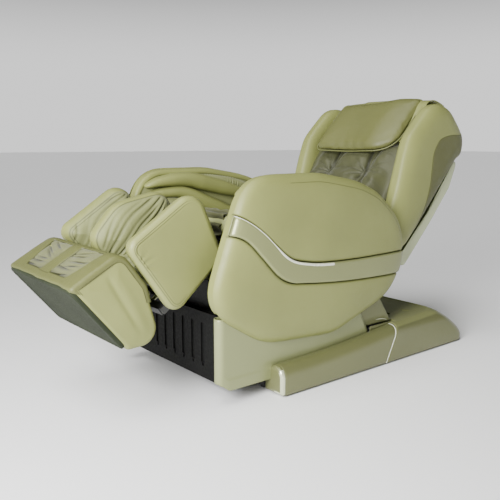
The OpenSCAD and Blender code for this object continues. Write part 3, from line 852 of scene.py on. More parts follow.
def rail_cover():
    """The painted skin of a rail cover, a little rounded at both ends."""
    shares = np.concatenate([[0.0, 0.002], np.linspace(0.01, 0.985, 44), [0.9975, 1.0]])
    insets = np.concatenate([[0.0015, 0.0004], np.zeros(44), [0.0, 0.0008]])
    points = np.stack([rail_at(t, i) for t, i in zip(shares, insets)])
    return skin("rail_cover_skin_left", points, CHAMPAGNE, 0.003)


def joint_strip():
    """The pale strip let into the joint behind a rail cover: (inset, shift) of its four edges."""
    strip = ((0.0010, 0.0002), (-0.0006, 0.0006), (-0.0006, 0.0028), (0.0010, 0.0032))
    edges = [rail_at(1.0, inset, shift) for inset, shift in strip]
    return dress(face_outwards(grid("rail_joint_strip_left", np.stack(edges))), IVORY_INLAY_AND_HIGHLIGHT)


class Front(Plane):
    """The chair seen from the front: a point's x runs towards the sitter's feet, a is across and b up."""

    def world(self, x, a, b):
        x, a, b = np.broadcast_arrays(x, a, b)
        return np.stack([a, -x, b], -1)


def rail_nose():
    """The rounded front end of a rail cover; its rounded outer corner is painted bright as a highlight."""
    line = rounded([(RAIL_OUT - RAIL_EDGE, 0.0655, 0.041), (RAIL_OUT - 0.008, 0.014, 0.008),
                    (0.311, 0.014, 0.008), (0.316, 0.040, 0.012), (0.353, 0.098, 0.008)], 0.002)
    view = Front((0, 0, 0), (0, 1, 0))
    pad = Pad(view, line, -RAIL_FRONT + 0.0006, -RAIL_FRONT + 0.017, (0.001, 0.001), (0.012, 0.018),
              around=160, rim_rows=3, core_rings=8)

    def paint(zone, depth, a, b):
        # painted highlight: the bright material on the outer rounded corner
        return np.where((zone >= 0) & (depth < 0.011) & (a - 0.35 * b > 0.352), 1, 0)

    return pad.finish("rail_nose_left", paint, CHAMPAGNE, BRIGHT_TRIM_AND_HIGHLIGHT)


def rear_cover_ring(z):
    """Half of the rear cover's outline at height z, from the joint back to the middle of the rear."""
    edge = RAIL_EDGE
    rise = max(0.0, z - COVER_TOP + edge)
    half = RAIL_OUT - (edge - math.sqrt(edge * edge - rise * rise))
    lean = 0.140 * (max(0.0, z - 0.025) / 0.123) ** 1.5
    corner = 0.062
    cx, cy = half - corner - lean / 4, COVER_REAR - corner - lean
    turn = np.linspace(0, np.pi / 2, 26)
    arc = np.stack([cx + corner * np.cos(turn), cy + corner * np.sin(turn)], 1)
    side = np.linspace((half, split_y(z) + 0.0036), arc[0], 34)[:-1]
    back = np.linspace(arc[-1], (0, arc[-1][1] + 0.004), 24)[1:]
    return np.vstack([side, arc, back])


def rear_cover():
    """The sloping cover over the rear of the base, open where the carriage slides."""
    eased = np.sin(np.linspace(0, 1, 34) * np.pi / 2)
    levels = 0.006 + (COVER_TOP - 0.0002 - 0.006) * eased
    outlines = [rear_cover_ring(z) for z in levels]
    rings = [np.column_stack([plan, np.full(len(plan), z)]) for plan, z in zip(outlines, levels)]
    top = rings[-1]
    corners = [(RAIL_IN + 0.001, top[0, 1]), (RAIL_IN + 0.001, 0.146), (RAIL_IN - 0.004, 0.152),
               (0.268, 0.154), (0.262, 0.160), (0.262, 0.220), (0.256, 0.226), (0, 0.226)]
    opening = even(np.array(corners), len(top), closed=False)
    stations = (0.02, 0.04, 0.06, 0.09, 0.2, 0.35, 0.5, 0.65, 0.8, 0.92, 0.98, 1.0)
    for t in stations:
        plan = top[:, :2] * (1 - t) + opening * t
        step = 0.0028 * smooth_step(0.01, 0.05, t) * smooth_step(0.13, 0.19, plan[:, 1])
        rings.append(np.column_stack([plan, COVER_TOP - step]))
    for drop in (0.002, 0.006, 0.020, 0.034):
        rings.append(np.column_stack([opening, np.full(len(top), COVER_TOP - 0.0028 - drop)]))
    points = np.stack(rings)
    other = points[:, -2::-1].copy()
    other[..., 0] *= -1
    obj = skin("rear_cover_skin", np.concatenate([points, other], 1), CHAMPAGNE, 0.003)
    dress(obj, DECK)
    level = [1 if f.center.z > COVER_TOP - 0.012 else 0 for f in obj.data.polygons]
    obj.data.polygons.foreach_set("material_index", level)
    return obj


def disc(name, centre, radius, height, material):
    """A low round boss standing on a level face."""
    turn = np.linspace(0, 2 * np.pi, 36, endpoint=False)
    points = []
    for t in np.linspace(0, np.pi / 2, 8):
        reach = radius * np.cos(t) ** 0.6
        points.append(np.stack([centre[0] + reach * np.cos(turn), centre[1] + reach * np.sin(turn),
                                np.full(len(turn), centre[2] + height * np.sin(t))], 1))
    obj = grid(name, np.stack(points), wrap_columns=True)
    return dress(face_outwards(obj, TOUCHING), material)


def skirt_end(z):
    """The leaning rear end of a front skirt at height z."""
    return min(-0.006, -0.004 - 0.55 * (z - 0.12))


def front_skirt():
    """The big plain side plate under an arm, bent round the front corner, with a lip along its lower edge."""
    side_x, corner_x, corner_y, radius = 0.3355, 0.316, -0.713, 0.0195
    low_z, high_z = 0.054, 0.299
    turn = np.linspace(0, np.pi, 18)[1:]
    nose = np.stack([corner_x + radius * np.cos(turn), corner_y - radius * np.sin(turn)], 1)
    rows = []
    for v in np.concatenate([np.linspace(0, 0.16, 12), np.linspace(0.2, 1, 22)]):
        back = np.linspace((side_x, skirt_end(low_z + v * 0.245)), (side_x, corner_y), 60)
        plan = np.vstack([back, nose, [(0.2965, -0.700), (0.2965, -0.684)]])
        low = low_z + 0.026 * smooth_step(-0.690, -0.735, plan[:, 1])
        z = low + v * (high_z - low)
        lip = 0.0030 * smooth_step(0.095, 0.090, z)
        out = np.where(plan[:, 1] > corner_y, 1, 0)
        rows.append(np.column_stack([plan[:, 0] + lip * out, plan[:, 1], z]))
    points = np.stack(rows)
    # painted shade in the groove above the lip
    shade = 0.6 * bump_at(points[..., 2], 0.0965, 0.0022)
    return skin("skirt_plate_left", points, SKIRT, 0.004, shade, offset=0)


def rear_skirt():
    """The set back side plate behind the front skirt, with a bright bead near its lower rear corner."""
    v = np.linspace(0, 1, 40)
    low = np.stack([np.linspace(-0.110, 0.132, 60), np.full(60, 0.1498)], 1)
    high = np.stack([np.linspace(-0.110, 0.054, 60), np.full(60, 0.264)], 1)
    yz = between(low, high, v)
    hollow = 0.0030 * smooth_step(0.185, 0.152, yz[..., 1]) * smooth_step(0.135, 0.08, yz[..., 0])
    points = WORLD.world(0.3320 - hollow, yz[..., 0], yz[..., 1])
    panel = skin("rear_skirt_plate_left", points, CHAMPAGNE, 0.004)
    path = spline([(0.040, 0.166), (0.070, 0.165), (0.096, 0.160), (0.112, 0.152)], 30)
    width = 0.0028 * np.sin(np.pi * np.linspace(0.04, 0.96, 30)) ** 0.7
    bead = dress(tube("rear_skirt_bead_left", WORLD.world(0.3325, path[:, 0], path[:, 1]), width, 10), BRIGHT_TRIM_AND_HIGHLIGHT)
    return panel, bead


def rail_upstand():
    """A low fixed wall between a rail cover and the sliding side plates."""
    y, z = np.meshgrid(np.linspace(-0.004, 0.118, 30), np.linspace(0.100, 0.1482, 6), indexing="ij")
    return skin("rail_upstand_left", WORLD.world(0.3430, y, z), CHAMPAGNE, 0.002)


def base_pieces():
    plate, (panel, bead) = front_skirt(), rear_skirt()
    cover, strip, nose, upstand = rail_cover(), joint_strip(), rail_nose(), rail_upstand()
    both_sides(cover, "base", "champagne_paint", "rail_cover_{}")
    both_sides(strip, "base", "ivory_trim", "rail_strips")
    both_sides(nose, "base", "bright_trim", "rail_caps")
    both_sides(upstand, "base", "champagne_paint")
    both_sides(plate, "carriage", "champagne_paint", "skirt_{}")
    both_sides(panel, "carriage", "champagne_paint", "rear_skirts")
    both_sides(bead, "carriage", "bright_trim")
    place(rear_cover(), "base", "champagne_paint", "base_rear_cover")
    for x, side in ((0.262, "left"), (-0.262, "right")):
        boss = disc(f"rear_cover_boss_{side}", (x, 0.325, COVER_TOP - 0.0032), 0.017, 0.0040, DECK)
        place(boss, "base", "champagne_paint")


# ---------- armrests ----------
ARM_IN, ARM_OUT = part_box("arm_shell_left")[0].x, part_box("arm_shell_left")[1].x
ARM_LINE = rounded([(-0.540, 0.622, 0.138), (-0.330, 0.545, 0.215), (-0.132, 0.627, 0.100),
                    (-0.044, 0.593, 0.100), (-0.048, 0.448, 0.216), (-0.240, 0.330, 0.165),
                    (-0.480, 0.400, 0.218), (-0.655, 0.385, 0.112)], 0.024)
# the two edges of the trim band across an arm: (y, z)
BAND_UPPER = [(-0.720, 0.655), (-0.644, 0.617), (-0.589, 0.578), (-0.527, 0.522), (-0.471, 0.480),
              (-0.382, 0.456), (-0.268, 0.445), (0.170, 0.440)]
BAND_LOWER = [(-0.730, 0.574), (-0.675, 0.564), (-0.644, 0.546), (-0.588, 0.489), (-0.522, 0.423),
              (-0.470, 0.395), (-0.400, 0.384), (-0.206, 0.366), (0.170, 0.352)]
ARM_MIDDLE = np.array([-0.30, 0.45])
ARM_COLUMNS = 150      # points along each panel and band of an arm
GAP = 0.0016           # half of the dark joint between a leather panel and the trim band


def arm_face(a, b):
    """Outer face of the arm: x for a point of its side view."""
    depth = depth_in(ARM_LINE, np.stack([a, b], -1))
    dome = 1 - np.exp(-1.2 * (((a + 0.32) / 0.44) ** 2 + ((b - 0.50) / 0.28) ** 2))
    return ARM_OUT - 0.018 * np.exp(-depth / 0.009) - 0.021 * np.exp(-depth / 0.050) - 0.0120 * dome


def cross_outline(knots, shift):
    """The points of a band edge that lie inside the arm's outline."""
    ys = np.linspace(knots[0][0], knots[-1][0], 900)
    edge = np.stack([ys, curve(knots, ys) + shift], 1)
    step = np.roll(ARM_LINE, -1, 0) - ARM_LINE
    offset = edge[:, None] - ARM_LINE[None]
    inside = np.all(offset[..., 0] * -step[:, 1] + offset[..., 1] * step[:, 0] >= -1e-9, axis=1)
    return edge[inside]


def outline_run(start, end):
    """The arm outline's points, anticlockwise from the place nearest start to the place nearest end."""
    ring = even(ARM_LINE, 1200)
    first, last = nearest(ring, start), nearest(ring, end)
    return ring[[(first + k) % len(ring) for k in range((last - first) % len(ring) + 1)]]


def arm_panel(name, edge, rim):
    """A leather panel between a band edge and the arm's rim, both running the same way."""
    foot, top = even(edge, ARM_COLUMNS, False), even(rim, ARM_COLUMNS, False)
    ab = between(foot, top, spaced(44, 0.0, 1.0))
    a, b = ab[..., 0], ab[..., 1]
    from_edge = np.linalg.norm(ab - foot[None], axis=2)
    depth = depth_in(ARM_LINE, ab)
    x = arm_face(a, b) - 0.0075 * np.exp(-from_edge / 0.0035)
    x = x + 0.0010 * ripple(a, b, 3, 0.22) * smooth_step(0.01, 0.06, depth)
    # painted shade along the joint with the band; the row tucked into the joint is painted fully dark
    shade = 0.8 * np.exp(-from_edge / 0.0025)
    rows = [WORLD.world(x[0] - 0.010, a[0], b[0])[None], WORLD.world(x, a, b)]
    shades = [np.ones((1, ARM_COLUMNS)), shade]
    for x_new, inset in ((0.006, 0.0), (0.003, 0.0008), (0.0015, 0.004), (0.001, 0.012)):
        ring = ab[-1] + (foot - top) * inset / 0.2
        rows.append(WORLD.world(np.minimum(x[-1], ARM_IN + x_new), ring[:, 0], ring[:, 1])[None])
        shades.append(np.zeros((1, ARM_COLUMNS)))
    obj = grid(name, np.concatenate(rows), np.concatenate(shades))
    return dress(face_outwards(obj, TOUCHING), LEATHER)


def arm_band():
    """The painted trim band across an arm, turned over the arm's rim at both ends."""
    upper = even(cross_outline(BAND_UPPER, -GAP), ARM_COLUMNS, False)
    lower = even(cross_outline(BAND_LOWER, GAP), ARM_COLUMNS, False)
    front = even(outline_run(upper[0], lower[0]), 41, False)
    rear = even(outline_run(lower[-1], upper[-1])[::-1], 41, False)
    v = np.concatenate([[0], np.linspace(0.015, 0.985, 39), [1]])
    run = run_of(upper)
    ab = between(upper, lower, v)
    for ends, chord, away in ((front, 0, run), (rear, -1, run[-1] - run)):
        bow = ends - ab[:, chord]
        ab = ab + bow[:, None] * np.exp(-away / 0.02)[None, :, None]
    a, b = ab[..., 0], ab[..., 1]
    across = np.minimum(v, 1 - v)[:, None] * np.linalg.norm(upper - lower, axis=1)[None]
    x = arm_face(a, b) + 0.0042 - 0.0050 * np.exp(-across / 0.0028)
    steps = ARM_IN + np.array([0.0005, 0.004, 0.008])
    wraps = []
    for column, xs in ((0, steps), (-1, steps[::-1])):
        away = ab[:, column] - ARM_MIDDLE
        out = ab[:, column] + 0.0012 * away / np.linalg.norm(away, axis=1)[:, None]
        wraps.append(np.stack([WORLD.world(xx, out[:, 0], out[:, 1]) for xx in xs], 1))
    face = WORLD.world(x, a, b)
    points = np.concatenate([wraps[0], face, wraps[1]], axis=1)
    sunk = points.copy()
    sunk[..., 0] -= 0.011
    points = np.concatenate([sunk[:1], points, sunk[-1:]], axis=0)
    # painted shade on the rows sunk into the joints at both edges
    shade = np.zeros(points.shape[:2])
    shade[[0, -1]] = 1.0
    return dress(grid("arm_band_left", points, shade), BAND)


def arm_seam():
    """The sewn seam that runs along the top of an arm, a little inside its rim."""
    path, _ = walk(ARM_LINE, (-0.480, 0.758), (0.150, 0.520), 220)
    line = at_depth(ARM_LINE, path, ARM_MIDDLE, 0.030)
    x = arm_face(line[:, 0], line[:, 1]) + 0.0001
    return stitch_line("arm_top_seam_left", WORLD.world(x, line[:, 0], line[:, 1]), 0.0008, LEATHER_SEAM_AND_SHADE)


def arm_inlay():
    """The bright strip let into the upper edge of the band: the wide rear part is the ivory inlay, and the
    thin part towards the front is a painted highlight along the band's edge.
    """
    upper = even(cross_outline(BAND_UPPER, -GAP - 0.0012), 260, False)
    upper = upper[upper[:, 0] < -0.266]
    y = upper[:, 0]
    # thin towards the front, where the strip is a painted highlight on the band's edge; wide further back,
    # where it is the inlay
    width = 0.0022 + 0.0062 * smooth_step(-0.545, -0.500, y) + 0.001 * smooth_step(-0.42, -0.30, y)
    v = np.array([0.0, 0.0, 0.12, 0.3, 0.5, 0.7, 0.88, 1.0, 1.0])
    lift = np.array([-0.002, 0.0032, 0.0048, 0.0053, 0.0055, 0.0053, 0.0048, 0.0036, -0.002])
    ab = upper[None] + right_of(upper)[None] * (width[None] * v[:, None])[..., None]
    x = arm_face(ab[..., 0], ab[..., 1]) + lift[:, None]
    return dress(grid("arm_inlay_left", WORLD.world(x, ab[..., 0], ab[..., 1])), IVORY_INLAY_AND_HIGHLIGHT)


RIM_SEAM = 0.022       # how far inside the arm's inner outline its leather rim is sewn to the lining


def clipped_arm(shrink):
    """The arm's outline above the skirt and in front of the swinging wing, a little smaller."""
    line = grown(ARM_LINE, -shrink)
    line = clip_outline(line, (0, 0.318), (0, 1))
    return clip_outline(line, (-0.045, 0), (-1, 0))


def arm_pieces():
    upper, lower = cross_outline(BAND_UPPER, GAP), cross_outline(BAND_LOWER, -GAP)
    upper_panel = arm_panel("arm_upper_panel_left", upper, outline_run(upper[-1], upper[0])[::-1])
    lower_panel = arm_panel("arm_lower_panel_left", lower, outline_run(lower[0], lower[-1]))
    core = Pad(WORLD, grown(ARM_LINE, -0.006), ARM_IN - 0.0005, ARM_OUT - 0.034,
               (0.002, 0.002), (0.012, 0.030), around=120)
    body = core.finish("arm_body_left", None, LINING_DEEP)
    inner = Pad(WORLD, clipped_arm(0.004), 0.303, ARM_IN - 0.0006, (0.014, 0.016), (0.003, 0.003),
                marks=(0.020, 0.022, 0.024))
    inner.groove(RIM_SEAM, 0.0022, 0.0022, smooth_step(0.36, 0.46, inner.b))

    def paint(zone, depth, a, b):
        return np.where((zone < 0) & (depth > RIM_SEAM), 1, 0)

    rim = inner.finish("arm_rim_left", paint, LEATHER, LINING)
    band, inlay_and_edge_highlight, seam = arm_band(), arm_inlay(), arm_seam()
    hand, ribs, roll, side = arm_inside()
    both_sides(upper_panel, "carriage", "olive_leather", "arm_shell_{}", fill=0.8)
    both_sides(lower_panel, "carriage", "olive_leather", fill=0.8)
    both_sides(body, "carriage", "lining_fabric")
    both_sides(rim, "carriage", "olive_leather", fill=0.8)
    both_sides(band, "carriage", "champagne_paint", "arm_trim_{}")
    both_sides(inlay_and_edge_highlight, "carriage", "ivory_trim")
    both_sides(seam, "carriage", "olive_leather")
    both_sides(hand, "carriage", "olive_leather", "arm_inner_pad_{}", fill=0.8)
    both_sides(ribs, "carriage", "lining_fabric")
    both_sides(roll, "carriage", "olive_leather", fill=0.8)
    both_sides(side, "carriage", "lining_fabric", "arm_core_{}", fill=0.8)


def long_roll(name, path, heights, depths, x_mid, material, seed, folds=0.0):
    """A soft roll that follows a path in y and z along the inner side of an arm."""
    count = 90
    path = spline(path, count)
    s = np.linspace(0, 1, count)
    tall = np.interp(s, np.linspace(0, 1, len(heights)), heights)
    deep = np.interp(s, np.linspace(0, 1, len(depths)), depths)
    turn = np.linspace(0, 2 * np.pi, 28, endpoint=False)
    end = np.sqrt(np.clip(1 - np.abs(2 * s - 1) ** 8, 0, 1))
    ring_b = np.sign(np.sin(turn)) * np.abs(np.sin(turn)) ** 0.8
    ring_x = np.sign(np.cos(turn)) * np.abs(np.cos(turn)) ** 0.8
    wave = folds * np.sin(2 * np.pi * (s[:, None] * 26 + 0.15 * np.sin(9 * s[:, None] + seed)))
    wave = wave * (0.6 + 0.4 * np.sin(17 * s[:, None] + seed))
    half_b = (tall * end)[:, None] / 2 * ring_b[None] * (1 + wave * 0.4)
    half_x = (deep * end)[:, None] / 2 * ring_x[None] + wave * 0.01 * (ring_x[None] < 0)
    ab = path[:, None] - right_of(path)[:, None] * half_b[..., None]
    points = WORLD.world(x_mid + half_x, ab[..., 0], ab[..., 1])
    # painted shade in the fold valleys
    shade = np.clip(wave * -0.5, 0, 0.4) * np.ones_like(half_b)
    obj = grid(name, points, shade, wrap_columns=True)
    return dress(face_outwards(obj, 1e-4), material)


def arm_inside():
    """Inner pads of an arm: a hand pad over an air cushion pocket, with a roll under it."""
    path = [(-0.632, 0.690), (-0.560, 0.708), (-0.440, 0.713), (-0.320, 0.688), (-0.130, 0.640)]
    hand = long_roll("arm_hand_cushion_left", path, [0.030, 0.052, 0.066, 0.062, 0.044],
                     [0.060, 0.084, 0.094, 0.090, 0.080], 0.294, LEATHER, 1)
    path = [(-0.450, 0.716), (-0.330, 0.706), (-0.220, 0.690), (-0.100, 0.664)]
    ribs = long_roll("arm_pocket_lining_left", path, [0.028, 0.050, 0.056, 0.050],
                     [0.030, 0.044, 0.050, 0.050], 0.310, LINING, 2, folds=0.35)
    path = [(-0.628, 0.655), (-0.550, 0.664), (-0.450, 0.659), (-0.330, 0.606), (-0.200, 0.548),
            (-0.080, 0.510)]
    roll = long_roll("arm_lower_roll_left", path, [0.030, 0.044, 0.058, 0.070, 0.070, 0.060],
                     [0.050, 0.076, 0.090, 0.096, 0.090, 0.080], 0.292, LEATHER, 3)
    path = [(-0.600, 0.600), (-0.500, 0.592), (-0.360, 0.540), (-0.200, 0.476), (-0.060, 0.440)]
    side = long_roll("arm_side_cushion_left", path, [0.090, 0.110, 0.120, 0.110, 0.090],
                     [0.060, 0.084, 0.090, 0.090, 0.080], 0.291, LINING, 4)
    return hand, ribs, roll, side


# ---------- leg rest ----------
LEG_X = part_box("calf_wall_left")[1].x
CALF_SIDE = rounded([(-0.203, 0.184, 0.040), (-0.008, 0.155, 0.064), (0.012, -0.032, 0.008),
                     (-0.198, -0.020, 0.044)], 0.005)
CALF_LEAF = rounded([(-0.192, 0.180, 0.054), (-0.110, 0.130, 0.122), (0.006, 0.142, 0.064),
                     (0.004, 0.020, 0.040), (-0.206, -0.010, 0.042)], 0.010)


def folds(a, b, one, two, seed):
    """How deep each place lies in the long creases a loose cover draws between two gathers, 0 to 1."""
    axis = np.array(two) - np.array(one)
    length = np.linalg.norm(axis)
    axis = axis / length
    along = ((a - one[0]) * axis[0] + (b - one[1]) * axis[1]) / length
    beside = -(a - one[0]) * axis[1] + (b - one[1]) * axis[0]
    spread = 0.022 + 0.075 * np.sin(np.pi * np.clip(0.10 + 0.82 * along, 0, 1)) ** 0.9
    place = beside / spread + 0.06 * np.sin(4 * along + seed) + 0.02 * np.sin(13 * along + 2 * seed)
    total = np.zeros(np.shape(place))
    draw = np.random.default_rng(seed)
    for k in range(-7, 7):
        middle, width = 0.21 * k + draw.uniform(-0.06, 0.06), draw.uniform(0.028, 0.060)
        start, end = draw.uniform(-0.25, 0.25), draw.uniform(0.75, 1.25)
        strength = draw.uniform(0.30, 1.0) * smooth_step(start - 0.2, start + 0.1, along)
        strength = strength * smooth_step(end + 0.2, end - 0.1, along)
        total += strength * np.exp(-((place - middle) / width) ** 2)
    return np.clip(total, 0, 1) * (0.38 + 0.62 * np.clip(np.abs(2 * along - 1), 0, 1) ** 1.2)


def calf_side():
    """The left outer pad of the leg rest: a smooth leather side, and gathered lining towards the calf."""
    pad = Pad(LEG, CALF_SIDE, LEG_X - 0.087, LEG_X, (0.066, 0.080), (0.017, 0.022),
              marks=(0.0125, 0.014, 0.0155, 0.0195, 0.021, 0.0225), around=260,
              crown_high=0.0012, crown_low=0.006, rim_rows=4, edge_steps=28, core_rings=16)
    front_top = smooth_step(-0.30, 0.0, pad.facing(-0.80, 0.60))
    pad.groove(0.014, 0.0012 * (pad.zone > 0), 0.0010, front_top)
    pad.groove(0.021, 0.0009 * (pad.zone > 0), 0.0009, front_top)
    outer = (pad.zone > 0) & (pad.depth > 0.018)
    from_gather = np.hypot(pad.a + 0.247, pad.b - 0.150)
    fan = np.sin(np.arctan2(pad.b - 0.150, pad.a + 0.256) * 13) * np.exp(-(from_gather / 0.045) ** 2)
    pad.x = pad.x + np.where(outer, 0.0024 * fan + 0.0009 * ripple(pad.a, pad.b, 8, 0.16), 0)
    # painted shade in the valleys of the gathered fan
    pad.shade = pad.shade + np.where(outer, 0.30 * np.clip(-fan, 0, 1), 0)
    crease = folds(pad.a, pad.b, (-0.236, 0.070), (0.030, 0.150), 2) * smooth_step(0.008, 0.022, pad.depth)
    pad.x = pad.x + np.where(pad.zone < 0, 0.0100 * crease, 0)
    # painted shade in the creases
    pad.shade = pad.shade + np.where(pad.zone < 0, crease ** 1.1, 0)

    def paint(zone, depth, a, b):
        strip = (a + 0.12) * -0.80 + (b - 0.09) * 0.60 > -0.03
        lined = (zone < 0) & (depth > 0.010)
        return np.where(lined, 2, np.where((zone > 0) & (depth < 0.014) & strip, 1, 0))

    return pad.finish("calf_side_cushion_left", paint, LEATHER, LEATHER_BAND, LINING)


def calf_middle():
    """The leaf shaped pad between the two calves, lined and gathered on both faces."""
    seam = 0.008
    pad = Pad(LEG, CALF_LEAF, -0.056, 0.056, (0.052, 0.085), (0.052, 0.085), marks=(0.0065, seam, 0.0095),
              around=280, edge_steps=30, core_rings=20, rim_rows=3, crown_low=0.006, crown_high=0.006)
    pad.groove(seam, 0.0016, 0.0014)
    crease = folds(pad.a, pad.b, (-0.236, 0.080), (0.050, 0.150), 5) * smooth_step(0.009, 0.022, pad.depth)
    pad.x = pad.x - pad.zone * 0.0120 * crease
    pad.x = pad.x + pad.zone * 0.0020 * ripple(pad.a, pad.b, 6, 0.12) * smooth_step(0.01, 0.04, pad.depth)
    # painted shade in the creases
    pad.shade = pad.shade + np.abs(pad.zone) * crease ** 1.1

    def paint(zone, depth, a, b):
        return np.where(depth > seam, 1, 0)

    return pad.finish("calf_middle_cushion", paint, LEATHER, LINING)


def calf_trough(name, x0, x1, seed):
    """Gathered lining in one calf channel, pleated where it turns down at the foot end."""
    rows, columns = 130, 90
    s = np.linspace(0, 1, rows)
    path = spline([(-0.266, 0.030), (-0.262, 0.072), (-0.240, 0.092), (-0.150, 0.086), (-0.060, 0.078),
                   (0.004, 0.064), (0.024, 0.036)], rows)
    x = np.linspace(x0, x1, columns)
    t = (x - x0) / (x1 - x0)
    lip = 0.046 * np.abs(2 * t - 1) ** 3
    a = path[:, 0][:, None] + 0 * x[None]
    b = path[:, 1][:, None] + lip[None] * np.sin(np.pi * np.clip(s * 1.1, 0, 1))[:, None] ** 0.4
    wander = 0.4 * np.sin(5 * s[:, None] + seed) * (1 - s[:, None])
    pleat = (1 - np.abs(np.sin(np.pi * (t[None] * 7 + wander)))) ** 1.3
    pleat = pleat * np.exp(-s[:, None] / 0.40)
    cross = (1 - np.abs(np.sin(np.pi * (s[:, None] * 11 + 0.3 * np.sin(7 * t[None] + seed))))) ** 1.5
    cross = cross * smooth_step(0.3, 0.6, s)[:, None]
    x = np.broadcast_to(x, a.shape)
    b = b - 0.010 * pleat - 0.006 * cross + 0.0015 * ripple(a, x, seed, 0.05)
    a = a + 0.008 * pleat * np.exp(-s[:, None] / 0.2)
    # painted shade in the pleats and cross folds
    return skin(name, LEG.world(x, a, b), LINING, 0.018, pleat * 0.9 + cross * 0.6)


def leg_pieces():
    both_sides(calf_side(), "leg_rest", "olive_leather", "calf_wall_{}", fill=0.75)
    place(calf_middle(), "leg_rest", "olive_leather", "calf_wall_middle", fill=0.75)
    for side, x0, x1, seed in (("left", 0.040, 0.200, 1), ("right", -0.200, -0.040, 2)):
        lining = calf_trough(f"calf_channel_lining_{side}", x0, x1, seed)
        place(lining, "leg_rest", "lining_fabric", "calf_back_pad", fill=0.5)


# ---------- foot unit ----------
FOOT_LINE = rounded([(-0.4355, 0.2285, 0.010), (-0.378, 0.206, 0.026), (-0.300, 0.178, 0.046),
                     (-0.293, 0.085, 0.040), (-0.350, -0.021, 0.059), (-0.4155, -0.038, 0.010)], 0.004)
COVER_FROM, COVER_TO = (-0.4455, 0.2285), (-0.262, 0.02)       # the two ends of the foot unit's cover
SOLE_FACE = -0.4555            # the foot unit's front end; the sole lies just behind it
SOLE_LEAN = 0.020 / 0.2625     # how far the sole leans back for each metre down
FOOT_IN, FOOT_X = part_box("foot_wall_left")[0].x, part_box("foot_wall_left")[1].x
FOOT_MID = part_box("foot_wall_middle")[1].x


def foot_wall(name, x0, x1, outer):
    """A wall pad of the foot unit; an outer one has a slanting crease and is lined on its inner face only."""
    pad = Pad(LEG, grown(FOOT_LINE, -0.0035), x0, x1, (0.014, 0.014), (0.014, 0.014), marks=(0.006,),
              around=200, crown_high=0.004 if outer else 0.0)
    if outer:
        face = pad.zone > 0
        slant = pad.a + 0.345 - 0.10 * (pad.b - 0.1)
        inside = smooth_step(0.02, 0.06, pad.depth)
        crease = bump_at(slant, 0.0, 0.010) * inside * smooth_step(-0.05, 0.03, pad.b)
        ridge = bump_at(slant, 0.028, 0.016) * inside
        pad.x = pad.x - np.where(face, 0.0026 * crease - 0.0012 * ridge, 0)
        pad.x = pad.x + np.where(face, 0.0008 * ripple(pad.a, pad.b, 21, 0.15), 0)

    def paint(zone, depth, a, b):
        lined = (zone < 0) & (depth > 0.01) if outer else np.abs(zone) > 0
        return np.where(lined, 1, 0)

    return pad.finish(name, paint, LEATHER, LINING)


WINDOW_X = (0.030, 0.170)             # across
WINDOW_S = (0.036, 0.172)             # along the cover from its front end


def window_depth(x, s):
    """1 inside an opening of the foot cover and 0 outside; the openings widen towards the rear."""
    across, along = np.abs(x), s - WINDOW_S[0]
    inner, outer = WINDOW_X[0] + 0.004, WINDOW_X[1] - 0.014 + 0.26 * along
    corner = 0.012
    dx = np.abs(across - (inner + outer) / 2) - (outer - inner) / 2 + corner
    ds = np.abs(s - (WINDOW_S[0] + WINDOW_S[1]) / 2) - (WINDOW_S[1] - WINDOW_S[0]) / 2 + corner
    outside = np.hypot(np.maximum(dx, 0), np.maximum(ds, 0)) + np.minimum(np.maximum(dx, ds), 0) - corner
    return 1 - smooth_step(-0.004, 0.0005, outside)


def foot_cover():
    """One fitted leather cover over the top and rear of the foot unit, with two openings in it."""
    path, normal = walk(FOOT_LINE, COVER_FROM, COVER_TO, 300)
    s = run_of(path)
    x, below, ab = wrapped(FOOT_LINE, path, FOOT_X + 0.0008, 0.012, 0.0165, 120)
    window = window_depth(x[None], s[:, None])
    near_middle = 1 - smooth_step(0.036, 0.042, np.abs(x))[None]
    on_band = bump_at(s[:, None], WINDOW_S[0] - 0.001, 0.0016) * near_middle
    lift = 0.0020 - 0.0100 * window - 0.0016 * on_band
    crown = 0.0025 * bump_at(np.abs(x)[None], 0.206, 0.030) + 0.0025 * bump_at(x[None], 0, 0.030)
    lift = np.where(below[None] < 0.008, lift + crown, 0.0010 + 0 * window)
    lift = lift + 0.0008 * ripple(np.broadcast_to(x, window.shape), s[:, None], 23, 0.10)
    ab = ab + normal[:, None] * lift[..., None]
    # painted shade round the window borders, inside the openings and in the pressed line in front of them
    shade = 0.9 * window * (1 - window) * 4 + 0.4 * window + 0.6 * on_band
    return skin("foot_top_cover", LEG.world(x[None], ab[..., 0], ab[..., 1]), LEATHER_FOOT, 0.004, shade)


def sole():
    """Moulded sole that closes the foot unit, with a pressed face inside a raised edge."""
    line = rounded([(-FOOT_X + 0.032, 0.205, 0.030), (FOOT_X - 0.032, 0.205, 0.030),
                    (-FOOT_X + 0.022, -0.012, 0.018), (FOOT_X - 0.022, -0.012, 0.018)], 0.003)
    pad = Pad(LEG, line, 0, 0.012, (0.001, 0.001), (0.004, 0.005), marks=(0.010, 0.012, 0.014, 0.016),
              around=200, rim_rows=2, core_rings=8)
    raised = 0.0018 * smooth_step(0.016, 0.011, pad.depth) * (pad.zone > 0)
    out = pad.x + raised
    front = SOLE_FACE + 0.017 + (0.2285 - pad.b) * SOLE_LEAN
    points = LEG.world(pad.a, front - out, pad.b)
    obj = face_outwards(build("foot_sole_plate", points, pad.faces))
    # painted shade in the groove round the pressed face
    set_shade(obj, 0.3 * bump_at(pad.depth, 0.0150, 0.002) * (pad.zone > 0))
    return dress(obj, SOLE)


